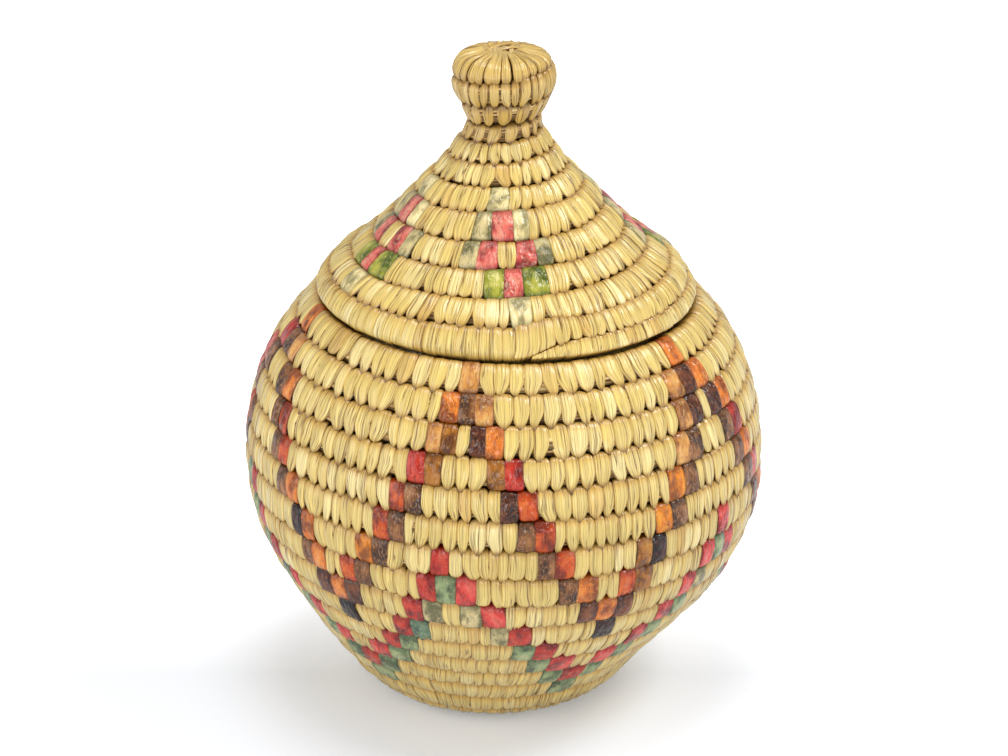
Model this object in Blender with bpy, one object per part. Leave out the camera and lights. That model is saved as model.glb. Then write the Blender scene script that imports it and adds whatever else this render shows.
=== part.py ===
"""Round lidded basket of coiled grass, standing on Z = 0 with its axis on the Z axis. Metres, +Z up.

A basket of this kind is one long cord of grass, wound row on row and sewn to the row before it with palm
strip. The base, wall and mouth here are one such coil, cut into runs, and the lid is another, from the middle
of its knob to its rim. The first climbs clockwise, seen from above, and the second falls clockwise. Each coil
follows the outline of the basket's skin at a cord's half thickness inside it. The last rows are squeezed and
the last one tapers, so that mouth and rim end on two edges that sway alike, lower at the right, and meet.
"""

import bisect
import math

import bmesh
import bpy
from mathutils import Vector, kdtree

# The basket's skin
BELLY_RADIUS = 0.0776
WALL_HEIGHT = 0.1250
LID_RADIUS = 0.0567
LID_HEIGHT = 0.0725
KNOB_RADIUS = 0.0151

# Skin outlines from the foot to the mouth, the rim to the neck, and the neck to the top of the knob
WALL_OUTLINE_SHARES = (  # of the belly's radius and the wall's height
    (0.452, 0.000),
    (0.540, 0.042),
    (0.610, 0.099),
    (0.750, 0.214),
    (0.883, 0.334),
    (0.977, 0.468),
    (1.000, 0.613),
    (0.965, 0.758),
    (0.872, 0.891),
    (0.727, 1.000),
    (0.705, 1.016),
)
CONE_OUTLINE_SHARES = (  # of the lid's radius and height
    (1.000, 0.014),
    (0.910, 0.116),
    (0.778, 0.192),
    (0.658, 0.274),
    (0.556, 0.356),
    (0.444, 0.450),
    (0.351, 0.528),
    (0.273, 0.611),
)
KNOB_OUTLINE_SHARES = (  # of the knob's radius and the lid's height
    (0.732, 0.710),
    (0.808, 0.776),
    (0.967, 0.843),
    (1.000, 0.890),
    (0.960, 0.941),
    (0.788, 0.985),
    (0.450, 1.000),
    (0.000, 1.000),
)

# Rows of cord
CORD_RADIUS = 0.0043
CORD_GAP = 0.0005  # least gap between two rows
STRIP_GAP = 0.0003  # between the cord and a strip laid over it
STRIP_THICKNESS = 0.0006
BASE_ROW_WIDTH = 0.0086
WALL_ROWS = 16
KNOB_ROW_WIDTHS = (0.0062, 0.0064, 0.0074, 0.0064, 0.0054)  # cap, knob, knob, neck, neck
CONE_ROW_SHARES = (0.092, 0.115, 0.115, 0.139, 0.131, 0.139, 0.139, 0.130)  # of the rest of the lid
KNOB_CORD_RADIUS = 0.0036
CORD_SIDES = 6
TIP_SHARE = 0.25  # a tapered end's radius, of the cord's
FOOT_CUT_SHARE = 0.20  # of the cord's radius, cut flat where it stands

# Where the two coils end, and how their last rows come out on one edge
MOUTH_END_ANGLE = math.radians(180)  # from the front, round to the right
RIM_END_ANGLE = math.radians(4)
MOUTH_SQUEEZED_ROWS = 5  # the last rows, which share the squeeze
RIM_SQUEEZED_ROWS = 2
MOUTH_TAPER_TURNS = 0.12
RIM_TAPER_TURNS = 0.06
MOUTH_SWAY_ROWS = 0.16  # how far the edge lies above its middle at the left, and below at the right
RIM_SWAY_ROWS = 0.14

# The hidden collar that keeps the lid in place
COLLAR_CORD_RADIUS = 0.0033
COLLAR_CLEARANCE = 0.0010  # to the mouth, all round
COLLAR_TURNS = 1.15
COLLAR_STEP = 0.0001  # how finely its height is found

# Where a coil is cut into runs
END_GAP = 0.0004
END_RUN = 0.0012  # a run's straight end
BASE_END_TURNS = 1 / 6  # before the wall's first whole turn
FOOT_LAST_TURN = 11  # turns left before the mouth
BELLY_LAST_TURN = 6
START_TURNS = 0.55  # from the base's middle to the start of the cord
CAP_START_TURNS = 0.9

# Points in a turn
STEPS = 24
SMALL_STEPS = 12
SMALL_TURN_RADIUS = 0.0210  # below it a turn has the smaller number

STRAW = (0.745, 0.584, 0.290, 1.0)
DRY_GRASS = (0.520, 0.400, 0.215, 1.0)


def clear_scene():
    for item in list(bpy.data.objects):
        bpy.data.objects.remove(item, do_unlink=True)


def material(name, colour, roughness):
    made = bpy.data.materials.new(name)
    made.use_nodes = True
    shader = made.node_tree.nodes["Principled BSDF"]
    shader.inputs["Base Color"].default_value = colour
    shader.inputs["Roughness"].default_value = roughness
    shader.inputs["Metallic"].default_value = 0.0
    made.diffuse_color = colour
    return made


def smooth_points(points, steps=16):
    """The points of an outline, with a smooth curve drawn through them."""
    ends = [points[0] * 2 - points[1], *points, points[-1] * 2 - points[-2]]
    curve = [points[0]]
    for before, start, end, after in zip(ends, ends[1:], ends[2:], ends[3:]):
        for step in range(1, steps + 1):
            t = step / steps
            curve.append(
                (
                    start * 2
                    + (end - before) * t
                    + (before * 2 - start * 5 + end * 4 - after) * t**2
                    + (start * 3 - before - end * 3 + after) * t**3
                )
                / 2
            )
    return curve


class Outline:
    """An outline as radius and height, read by the length run along it. side is 1 where it runs upward."""

    def __init__(self, points, side):
        self.points = points
        self.side = side
        self.lengths = [0.0]
        for start, end in zip(points, points[1:]):
            self.lengths.append(self.lengths[-1] + (end - start).length)

    def at(self, length):
        place = min(max(bisect.bisect(self.lengths, length), 1), len(self.points) - 1)
        start, end = self.points[place - 1], self.points[place]
        share = (length - self.lengths[place - 1]) / (end - start).length
        along = (end - start).normalized()
        return start.lerp(end, share), Vector((along.y, -along.x)) * self.side


def side_share(way, outward):
    """How far a cord's side lies from its middle along a way, of the radius to its corners."""
    side = math.tau / CORD_SIDES
    turn = (math.atan2(way.y, way.x) - math.atan2(outward.y, outward.x)) % side
    return math.cos(min(turn, side - turn))


class Coil:
    """A coil of cord, read by the turns that are left before its end at the mouth or the rim.

    rows is how many rows lie between its start and its end, squeezed_rows how many of the last ones give way
    to the edge that they end on, rim(angle) how many rows past rows that edge lies, and place(row) gives the
    cord's middle at a row, its outward direction and the largest radius that stays under the skin.
    """

    def __init__(self, rows, end_angle, squeezed_rows, taper_turns, rim, place):
        self.rows = rows
        self.end_angle = end_angle
        self.squeezed_rows = squeezed_rows
        self.taper_turns = taper_turns
        self.rim = rim
        self.place = place

    def edge(self, left):
        """The row at which the cord's inner edge lies."""
        squeeze = -left % 1.0
        full = 1.0 - self.taper_turns
        if squeeze > full:
            share = (squeeze - full) / self.taper_turns
            squeeze = full * (1.0 - share * share * (3.0 - 2.0 * share))
        rim = self.rim(self.angle(left))
        below = max(left + squeeze, 0.0)
        if below >= self.squeezed_rows:
            return self.rows - left
        return self.rows + rim - below * (self.squeezed_rows - squeeze + rim) / self.squeezed_rows

    def middle(self, left):
        """The cord's middle as radius and height, its outward direction, its radius and its width in rows."""
        inner, outer = self.edge(left), self.edge(left - 1.0)
        width = max(min(outer - inner, 1.0), TIP_SHARE)
        centre, outward, most = self.place((inner + outer) / 2)
        return centre + outward * most * (1.0 - width), outward, most * width, width

    def angle(self, left):
        return self.end_angle + math.tau * left

    def point(self, left):
        centre = self.middle(left)[0]
        angle = self.angle(left)
        return Vector((centre.x * math.sin(angle), -centre.x * math.cos(angle), centre.y))

    def spot(self, left):
        """The cord's middle in space, its radius and the lean of its outward direction."""
        centre, outward, radius, width = self.middle(left)
        for other_left in (left - 1.0, left + 1.0):
            if other_left >= 0.0:
                other, other_outward, _, other_width = self.middle(other_left)
                way = other - centre
                reach = width * side_share(way, outward) + other_width * side_share(way, other_outward)
                radius = min(radius, (way.length - CORD_GAP) * width / reach)
        return self.point(left), radius, math.atan2(outward.y, outward.x)

    def end(self, left, way):
        """A spot where a run ends, and one a short way into the run, in a straight line."""
        turns = END_GAP / math.tau / self.middle(left)[0].x
        place, radius, lean = self.spot(left)
        along = (self.point(left + way * turns) - self.point(left - way * turns)).normalized()
        gap = END_GAP / 2 if left > 0.0 else 0.0
        return (place + along * gap, radius, lean), (place + along * (gap + END_RUN), radius, lean)

    def run(self, first, last):
        """The spots of a run from first to last turns left, at the same angles in every row."""
        clear = 2.5 * END_RUN / math.tau
        number = math.ceil((last + clear / self.middle(last)[0].x) * STEPS)
        skipped = STEPS // SMALL_STEPS
        spots = list(self.end(last, 1))
        while number / STEPS < first - clear / self.middle(first)[0].x:
            if number % skipped == 0 or self.middle(number / STEPS)[0].x > SMALL_TURN_RADIUS:
                spots.append(self.spot(number / STEPS))
            number += 1
        spots.extend(reversed(self.end(first, -1)))
        spots.reverse()
        return spots


def cord(name, spots, finish):
    """One unbroken tube along the spots. A corner of its six sides points outward."""
    curve = bpy.data.curves.new(name, "CURVE")
    curve.dimensions = "3D"
    curve.twist_mode = "Z_UP"
    curve.bevel_depth = CORD_RADIUS
    curve.bevel_resolution = 1
    curve.use_fill_caps = True
    line = curve.splines.new("POLY")
    line.points.add(len(spots) - 1)
    for point, (place, radius, lean) in zip(line.points, spots):
        point.co = (*place, 1.0)
        point.radius = radius / CORD_RADIUS
        point.tilt = lean
    made = bpy.data.objects.new(name, curve)
    bpy.context.scene.collection.objects.link(made)
    curve.materials.append(finish)
    return made


def cord_mesh(item):
    """The mesh of a cord, in place of its curve."""
    bpy.context.view_layer.update()
    mesh = bpy.data.meshes.new_from_object(item.evaluated_get(bpy.context.evaluated_depsgraph_get()))
    made = bpy.data.objects.new("cut_cord", mesh)
    name = item.name
    bpy.data.objects.remove(item, do_unlink=True)
    made.name = name
    bpy.context.scene.collection.objects.link(made)
    return made


def turned(name, profile, segments, finish):
    """A closed turned solid from a profile of radius and height, top to bottom, about an upright axis."""
    mesh = bpy.data.meshes.new(name)
    shape = bmesh.new()
    rings = []
    for radius, height in profile:
        rings.append(
            [
                shape.verts.new((radius * math.cos(turn), radius * math.sin(turn), height))
                for turn in (math.tau * step / segments for step in range(segments))
            ]
        )
    for upper, lower in zip(rings, rings[1:]):
        for step in range(segments):
            after = (step + 1) % segments
            shape.faces.new((upper[step], lower[step], lower[after], upper[after]))
    shape.faces.new(rings[0])
    shape.faces.new(reversed(rings[-1]))
    shape.to_mesh(mesh)
    shape.free()
    made = bpy.data.objects.new(name, mesh)
    bpy.context.scene.collection.objects.link(made)
    mesh.materials.append(finish)
    mesh.shade_smooth()
    mesh.set_sharp_from_angle(angle=math.radians(40))
    return made


def scaled(shares, width, height, base=0.0):
    return [Vector((across * width, base + up * height)) for across, up in shares]


def body_coil():
    """The coil of the base, wall and mouth, and the turns left at the base's middle.

    Row 0 is the wall's lowest edge, and the rows below it are the base.
    """
    skin = Outline(smooth_points(scaled(WALL_OUTLINE_SHARES, BELLY_RADIUS, WALL_HEIGHT)), 1)
    rim_number = min(range(len(skin.points)), key=lambda number: abs(skin.points[number].y - WALL_HEIGHT))
    row_width = skin.lengths[rim_number] / WALL_ROWS
    inset = CORD_RADIUS + STRIP_GAP + STRIP_THICKNESS
    base_height = CORD_RADIUS * (1.0 - FOOT_CUT_SHARE)

    def wall_place(row):
        point, outward = skin.at(row * row_width)
        return point - outward * inset, outward

    first, first_outward = wall_place(0.5)
    rise = first.y - base_height
    edge = first.x - math.sqrt(BASE_ROW_WIDTH**2 - rise**2)
    down = Vector((0.0, -1.0))

    def place(row):
        if row >= 0.5:
            return (*wall_place(row), CORD_RADIUS)
        if row <= -0.5:
            centre = Vector((edge + BASE_ROW_WIDTH * (row + 0.5), base_height))
            return centre, down, CORD_RADIUS
        share = row + 0.5
        turned_share = share * share * (3.0 - 2.0 * share)
        across = edge + (first.x - edge) * share
        centre = Vector((across, base_height + rise * turned_share))
        return centre, down.slerp(first_outward, turned_share), CORD_RADIUS

    def rim(angle):
        return 0.5 - MOUTH_SWAY_ROWS * math.sin(angle)

    rows = WALL_ROWS - 0.5
    coil = Coil(rows, MOUTH_END_ANGLE, MOUTH_SQUEEZED_ROWS, MOUTH_TAPER_TURNS, rim, place)
    return coil, rows + 1.0 + edge / BASE_ROW_WIDTH


def lid_coil():
    """The coil of the lid, from the middle of the knob's top, at row 0, to its rim."""
    knob = scaled(KNOB_OUTLINE_SHARES, KNOB_RADIUS, LID_HEIGHT, WALL_HEIGHT)
    cone = scaled(CONE_OUTLINE_SHARES, LID_RADIUS, LID_HEIGHT, WALL_HEIGHT)
    skin = Outline(list(reversed(smooth_points(cone + knob))), -1)
    neck = sum(KNOB_ROW_WIDTHS)
    thickening = neck / 2
    strip = STRIP_GAP + STRIP_THICKNESS

    def most(length):
        share = min(max((length - neck) / thickening, 0.0), 1.0)
        return KNOB_CORD_RADIUS + (CORD_RADIUS - KNOB_CORD_RADIUS) * share

    middles = []
    for length in skin.lengths:
        point, outward = skin.at(length)
        middles.append(point - outward * (most(length) + strip))
    line = Outline(middles, -1)
    edges = [0.0]
    for width in KNOB_ROW_WIDTHS:
        edges.append(edges[-1] + width)
    rest = line.lengths[-1] - edges[-1]
    for share in CONE_ROW_SHARES:
        edges.append(edges[-1] + rest * share)

    def place(row):
        number = min(max(int(row), 0), len(edges) - 2)
        length = edges[number] + (row - number) * (edges[number + 1] - edges[number])
        return (*line.at(length), most(length))

    def rim(angle):
        return RIM_SWAY_ROWS * math.sin(angle)

    return Coil(len(edges) - 1, RIM_END_ANGLE, RIM_SQUEEZED_ROWS, RIM_TAPER_TURNS, rim, place)


def taper_start(spots, count):
    """The spots with the first few drawn to a point."""
    made = []
    for number, (place, radius, lean) in enumerate(spots):
        share = min(TIP_SHARE + (1.0 - TIP_SHARE) * number / count, 1.0)
        made.append((place, radius * share, lean))
    return made


def collar(end_angle, mouth_spots, rim_spots):
    """Spots of the collar: a cord just inside the mouth, as close under the lid's rim as it goes."""
    inner = min(math.hypot(place.x, place.y) - radius for place, radius, _ in mouth_spots)
    across = inner - COLLAR_CLEARANCE - COLLAR_CORD_RADIUS
    outward = Vector((1.0, 0.0))

    def clear(height):
        for place, radius, lean in rim_spots:
            way = Vector((math.hypot(place.x, place.y) - across, place.z - height))
            rim_share = side_share(way, Vector((math.cos(lean), math.sin(lean))))
            reach = radius * rim_share + COLLAR_CORD_RADIUS * side_share(way, outward)
            if way.length < reach + STRIP_GAP:
                return False
        return True

    top = max(place.z for place, _, _ in rim_spots)
    while not clear(top):
        top -= COLLAR_STEP
    pitch = 2 * COLLAR_CORD_RADIUS + CORD_GAP
    spots = []
    for step in range(round(STEPS * COLLAR_TURNS) + 1):
        turns = step / STEPS
        angle = end_angle - math.tau * turns
        place = Vector((across * math.sin(angle), -across * math.cos(angle), top - pitch * turns))
        spots.append((place, COLLAR_CORD_RADIUS, 0.0))
    return spots


def least_gap(item):
    """The least distance between points of a tube that lie half a turn or more apart along it."""
    evaluated = item.evaluated_get(bpy.context.evaluated_depsgraph_get())
    mesh = evaluated.to_mesh()
    points = [vertex.co.copy() for vertex in mesh.vertices][2 * CORD_SIDES :]  # the filled ends come first
    rings = len(points) // CORD_SIDES
    rows = [points[CORD_SIDES * ring : CORD_SIDES * (ring + 1)] for ring in range(rings)]
    samples = []
    for ring, row in enumerate(rows):
        for side, point in enumerate(row):
            after = row[(side + 1) % CORD_SIDES]
            samples.append((ring, point))
            samples.append((ring, (point + after) / 2))
            if ring + 1 < rings:
                samples.append((ring, (point + rows[ring + 1][side]) / 2))
    tree = kdtree.KDTree(len(samples))
    for number, (_, point) in enumerate(samples):
        tree.insert(point, number)
    tree.balance()
    least = math.inf
    for ring, point in samples:
        for _, number, distance in tree.find_range(point, 3 * CORD_RADIUS):
            if abs(samples[number][0] - ring) > STEPS / 4 and distance < least:
                least = distance
    evaluated.to_mesh_clear()
    return least


def build():
    clear_scene()
    straw = material("palm_strip_over_grass", STRAW, 0.55)
    grass = material("dry_grass", DRY_GRASS, 0.8)

    body, middle_turn = body_coil()
    base_end = WALL_ROWS - BASE_END_TURNS
    base_spots = taper_start(body.run(middle_turn - START_TURNS, base_end), SMALL_STEPS / 2)
    mouth_spots = body.run(1.0, 0.0)
    base = cord("base_coil", base_spots, straw)
    cord("foot_coil", body.run(base_end, FOOT_LAST_TURN), straw)
    cord("belly_coil", body.run(FOOT_LAST_TURN, BELLY_LAST_TURN), straw)
    cord("shoulder_coil", body.run(BELLY_LAST_TURN, 1.0), straw)
    cord("mouth_coil", mouth_spots, straw)
    start, start_radius, _ = base_spots[0]
    knot_radius = math.hypot(start.x, start.y) - start_radius - STRIP_GAP
    knot_height = 2 * CORD_RADIUS
    turned(
        "base_start_knot",
        [
            (knot_radius / 2, knot_height),
            (knot_radius, knot_height - knot_radius / 2),
            (knot_radius, knot_radius / 2),
            (knot_radius / 2, 0.0),
        ],
        SMALL_STEPS,
        grass,
    )

    lid = lid_coil()
    knob_start, neck_start, cone_start = lid.rows - 0.5, lid.rows - 2.5, lid.rows - 4.5
    cap_spots = taper_start(lid.run(lid.rows + 1.0 - CAP_START_TURNS, knob_start), SMALL_STEPS / 3)
    cord("knob_cap_coil", cap_spots, straw)
    cord("knob_coil", lid.run(knob_start, neck_start), straw)
    cord("neck_coil", lid.run(neck_start, cone_start), straw)
    cord("lid_coil", lid.run(cone_start, 1.0), straw)
    rim_spots = lid.run(1.0, 0.0)
    cord("lid_rim_coil", rim_spots, straw)
    cord("lid_collar_coil", collar(RIM_END_ANGLE, mouth_spots, rim_spots), straw)

    bpy.context.view_layer.update()
    for item in bpy.data.objects:
        if item.type == "CURVE":
            print(f"{item.name}: least gap to itself {least_gap(item) * 1000:.2f} mm")
    cut_foot(cord_mesh(base))


def cut_foot(item):
    """Cuts the base flat where it stands."""
    reach = 2 * BELLY_RADIUS
    mesh = bpy.data.meshes.new("floor_cut")
    shape = bmesh.new()
    bmesh.ops.create_cube(shape, size=1.0)
    bmesh.ops.scale(shape, vec=(reach, reach, 2 * CORD_RADIUS), verts=shape.verts)
    bmesh.ops.translate(shape, vec=(0.0, 0.0, -CORD_RADIUS), verts=shape.verts)
    shape.to_mesh(mesh)
    shape.free()
    cutter = bpy.data.objects.new("floor_cut", mesh)
    bpy.context.scene.collection.objects.link(cutter)
    cutter.hide_render = True
    cutter.display_type = "WIRE"
    cut = item.modifiers.new("flat foot", "BOOLEAN")
    cut.object = cutter
    cut.operation = "DIFFERENCE"


build()
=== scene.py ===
"""A lidded basket of coiled grass cord, sewn row on row with palm strip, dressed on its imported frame.

Sizes are in metres unless a name says mm. An azimuth is counted from the front, round to the right, and a
coil is read by the turns that are left before its end at the mouth or at the lid's rim.
"""

import logging
import math
from collections.abc import Callable, Mapping, Sequence
from dataclasses import dataclass, field
from enum import Enum
from typing import Any

import bpy
import numpy as np
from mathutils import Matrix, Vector


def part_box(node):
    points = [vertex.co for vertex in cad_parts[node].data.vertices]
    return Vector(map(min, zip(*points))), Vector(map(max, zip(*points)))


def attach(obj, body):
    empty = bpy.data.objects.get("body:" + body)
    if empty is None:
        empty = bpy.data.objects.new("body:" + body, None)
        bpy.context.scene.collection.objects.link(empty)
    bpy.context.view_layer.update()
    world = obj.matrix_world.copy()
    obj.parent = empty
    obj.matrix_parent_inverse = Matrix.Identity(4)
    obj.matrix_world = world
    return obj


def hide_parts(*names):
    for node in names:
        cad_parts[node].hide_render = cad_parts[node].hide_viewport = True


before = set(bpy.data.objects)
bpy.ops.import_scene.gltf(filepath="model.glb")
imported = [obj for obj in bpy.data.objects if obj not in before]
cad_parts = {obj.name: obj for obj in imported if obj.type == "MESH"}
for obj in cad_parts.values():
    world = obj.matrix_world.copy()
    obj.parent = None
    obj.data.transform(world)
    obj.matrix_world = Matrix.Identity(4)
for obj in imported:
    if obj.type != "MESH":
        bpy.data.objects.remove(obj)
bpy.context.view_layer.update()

LOG = logging.getLogger("basket")

MM = 0.001
SEWN_SLOT = "palm_strip_over_grass"
GRASS_SLOT = "dry_grass"
BUNDLE_START = 0.02  # turns left where the grass ends, inside the last wraps
STRIP_MAP = "strip"  # a wrap's own map in mm: across the strip, along the strip
CHANCE = "chance"  # a number from 0 to 1 that differs from wrap to wrap
# Painted shade with some browning: 0 on a wrap's face, rising where it is tucked between two rows and at its
# edges, where shade falls; worn styles add browning to it.
SHADE_AND_BROWNING = "shade_and_browning"  # 0 on a wrap's face, 1 where it is tucked between two rows
MATH = "ShaderNodeMath"
MAP_RANGE = "ShaderNodeMapRange"
NOISE_SPAN = (0.3, 0.7)  # nearly all of a noise lies between these


def linear(colour: str) -> tuple[float, float, float, float]:
    """Turns an sRGB hex colour to linear RGBA.

    Args:
        colour: the colour as #RRGGBB.

    Returns:
        Its linear red, green and blue, and an alpha of 1.
    """
    channels = (int(colour[place : place + 2], 16) / 255 for place in (1, 3, 5))
    red, green, blue = (
        level / 12.92 if level <= 0.04045 else ((level + 0.055) / 1.055) ** 2.4 for level in channels
    )
    return red, green, blue, 1.0


def add_node(
    tree: bpy.types.NodeTree,
    kind: str,
    settings: Mapping[str, Any] | None = None,
    links: Mapping[str | int, Any] | Sequence[Any] = (),
) -> bpy.types.Node:
    """Adds a node with its settings and links.

    Args:
        tree: the node tree of a material or a world.
        kind: the node's Blender type.
        settings: its own properties.
        links: what its inputs take, by their names or numbers, or in their own order. Each is a socket, a
            node whose first output feeds the input, or a value.

    Returns:
        The new node.
    """
    node = tree.nodes.new(kind)
    for name, value in (settings or {}).items():
        setattr(node, name, value)
    for place, value in links.items() if isinstance(links, Mapping) else enumerate(links):
        feed = value.outputs[0] if isinstance(value, bpy.types.Node) else value
        if isinstance(feed, bpy.types.NodeSocket):
            tree.links.new(feed, node.inputs[place])
        else:
            node.inputs[place].default_value = feed
    return node


def blank_material(name: str) -> tuple[bpy.types.Material, bpy.types.NodeTree]:
    """Makes a material with an empty node tree.

    Args:
        name: the material's name.

    Returns:
        The material and its tree.
    """
    made = bpy.data.materials.new(name)
    made.use_nodes = True
    made.node_tree.nodes.clear()
    return made, made.node_tree


def streaks(
    tree: bpy.types.NodeTree, place: bpy.types.NodeSocket, scale: float, stretch: float, detail: float = 1.0
) -> bpy.types.NodeSocket:
    """Adds a noise that is drawn out along the strip.

    Args:
        tree: the material's node tree.
        place: the strip's map, in mm.
        scale: the noise's scale across the strip, per mm.
        stretch: its scale along the strip, as a share of that.
        detail: the noise's detail.

    Returns:
        The noise, from 0 to 1.
    """
    drawn = add_node(tree, "ShaderNodeMapping", None, {"Vector": place, "Scale": (1.0, stretch, 1.0)})
    return add_node(
        tree,
        "ShaderNodeTexNoise",
        {"noise_dimensions": "2D"},
        {"Vector": drawn.outputs["Vector"], "Scale": scale, "Detail": detail},
    ).outputs["Fac"]


def lines(tree: bpy.types.NodeTree, noise: bpy.types.NodeSocket, width: float) -> bpy.types.Node:
    """Draws thin lines where a noise crosses its middle.

    Args:
        tree: the material's node tree.
        noise: the noise.
        width: how far from the middle the lines reach.

    Returns:
        The node that gives 1 on a line and 0 off it.
    """
    past = add_node(tree, MATH, {"operation": "SUBTRACT"}, (noise, 0.5))
    off = add_node(tree, MATH, {"operation": "ABSOLUTE"}, (past,))
    return add_node(tree, MAP_RANGE, None, (off, 0.0, width, 1.0, 0.0))


def read_strip(
    tree: bpy.types.NodeTree,
) -> tuple[bpy.types.NodeSocket, bpy.types.NodeSocket, bpy.types.NodeSocket]:
    """Reads what a mesh of strips carries.

    Args:
        tree: the material's node tree.

    Returns:
        The strip's map, its chance, and its mask of painted shade and browning.
    """
    place = add_node(tree, "ShaderNodeUVMap", {"uv_map": STRIP_MAP}).outputs["UV"]
    chance, shade_and_browning = (
        add_node(tree, "ShaderNodeAttribute", {"attribute_name": title}).outputs["Fac"]
        for title in (CHANCE, SHADE_AND_BROWNING)
    )
    return place, chance, shade_and_browning


def set_stops(ramp: bpy.types.ColorRamp, stops: Sequence[tuple[float, str]]) -> None:
    """Sets the colours of a ramp.

    Args:
        ramp: the ramp.
        stops: the place and the sRGB hex colour of each stop.
    """
    first, *inner, last = stops
    for element, (place, colour) in zip(ramp.elements, (first, last)):
        element.position = place
        element.color = linear(colour)
    for place, colour in inner:
        ramp.elements.new(place).color = linear(colour)


def close_material(
    tree: bpy.types.NodeTree, relief: Any, depth_mm: float, surface: Mapping[str, Any]
) -> None:
    """Ends a material with its bump, its surface and its output.

    Args:
        tree: the material's node tree.
        relief: the node or socket that the bump's height comes from.
        depth_mm: the bump's depth.
        surface: what the surface shader's other inputs take.
    """
    height = {"Height": relief, "Distance": depth_mm * MM, "Strength": 1.0}
    bump = add_node(tree, "ShaderNodeBump", None, height)
    normals = ("Normal", "Coat Normal") if "Coat Weight" in surface else ("Normal",)
    shader = add_node(tree, "ShaderNodeBsdfPrincipled", None, {**surface, **dict.fromkeys(normals, bump)})
    add_node(tree, "ShaderNodeOutputMaterial", None, {"Surface": shader})


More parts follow.
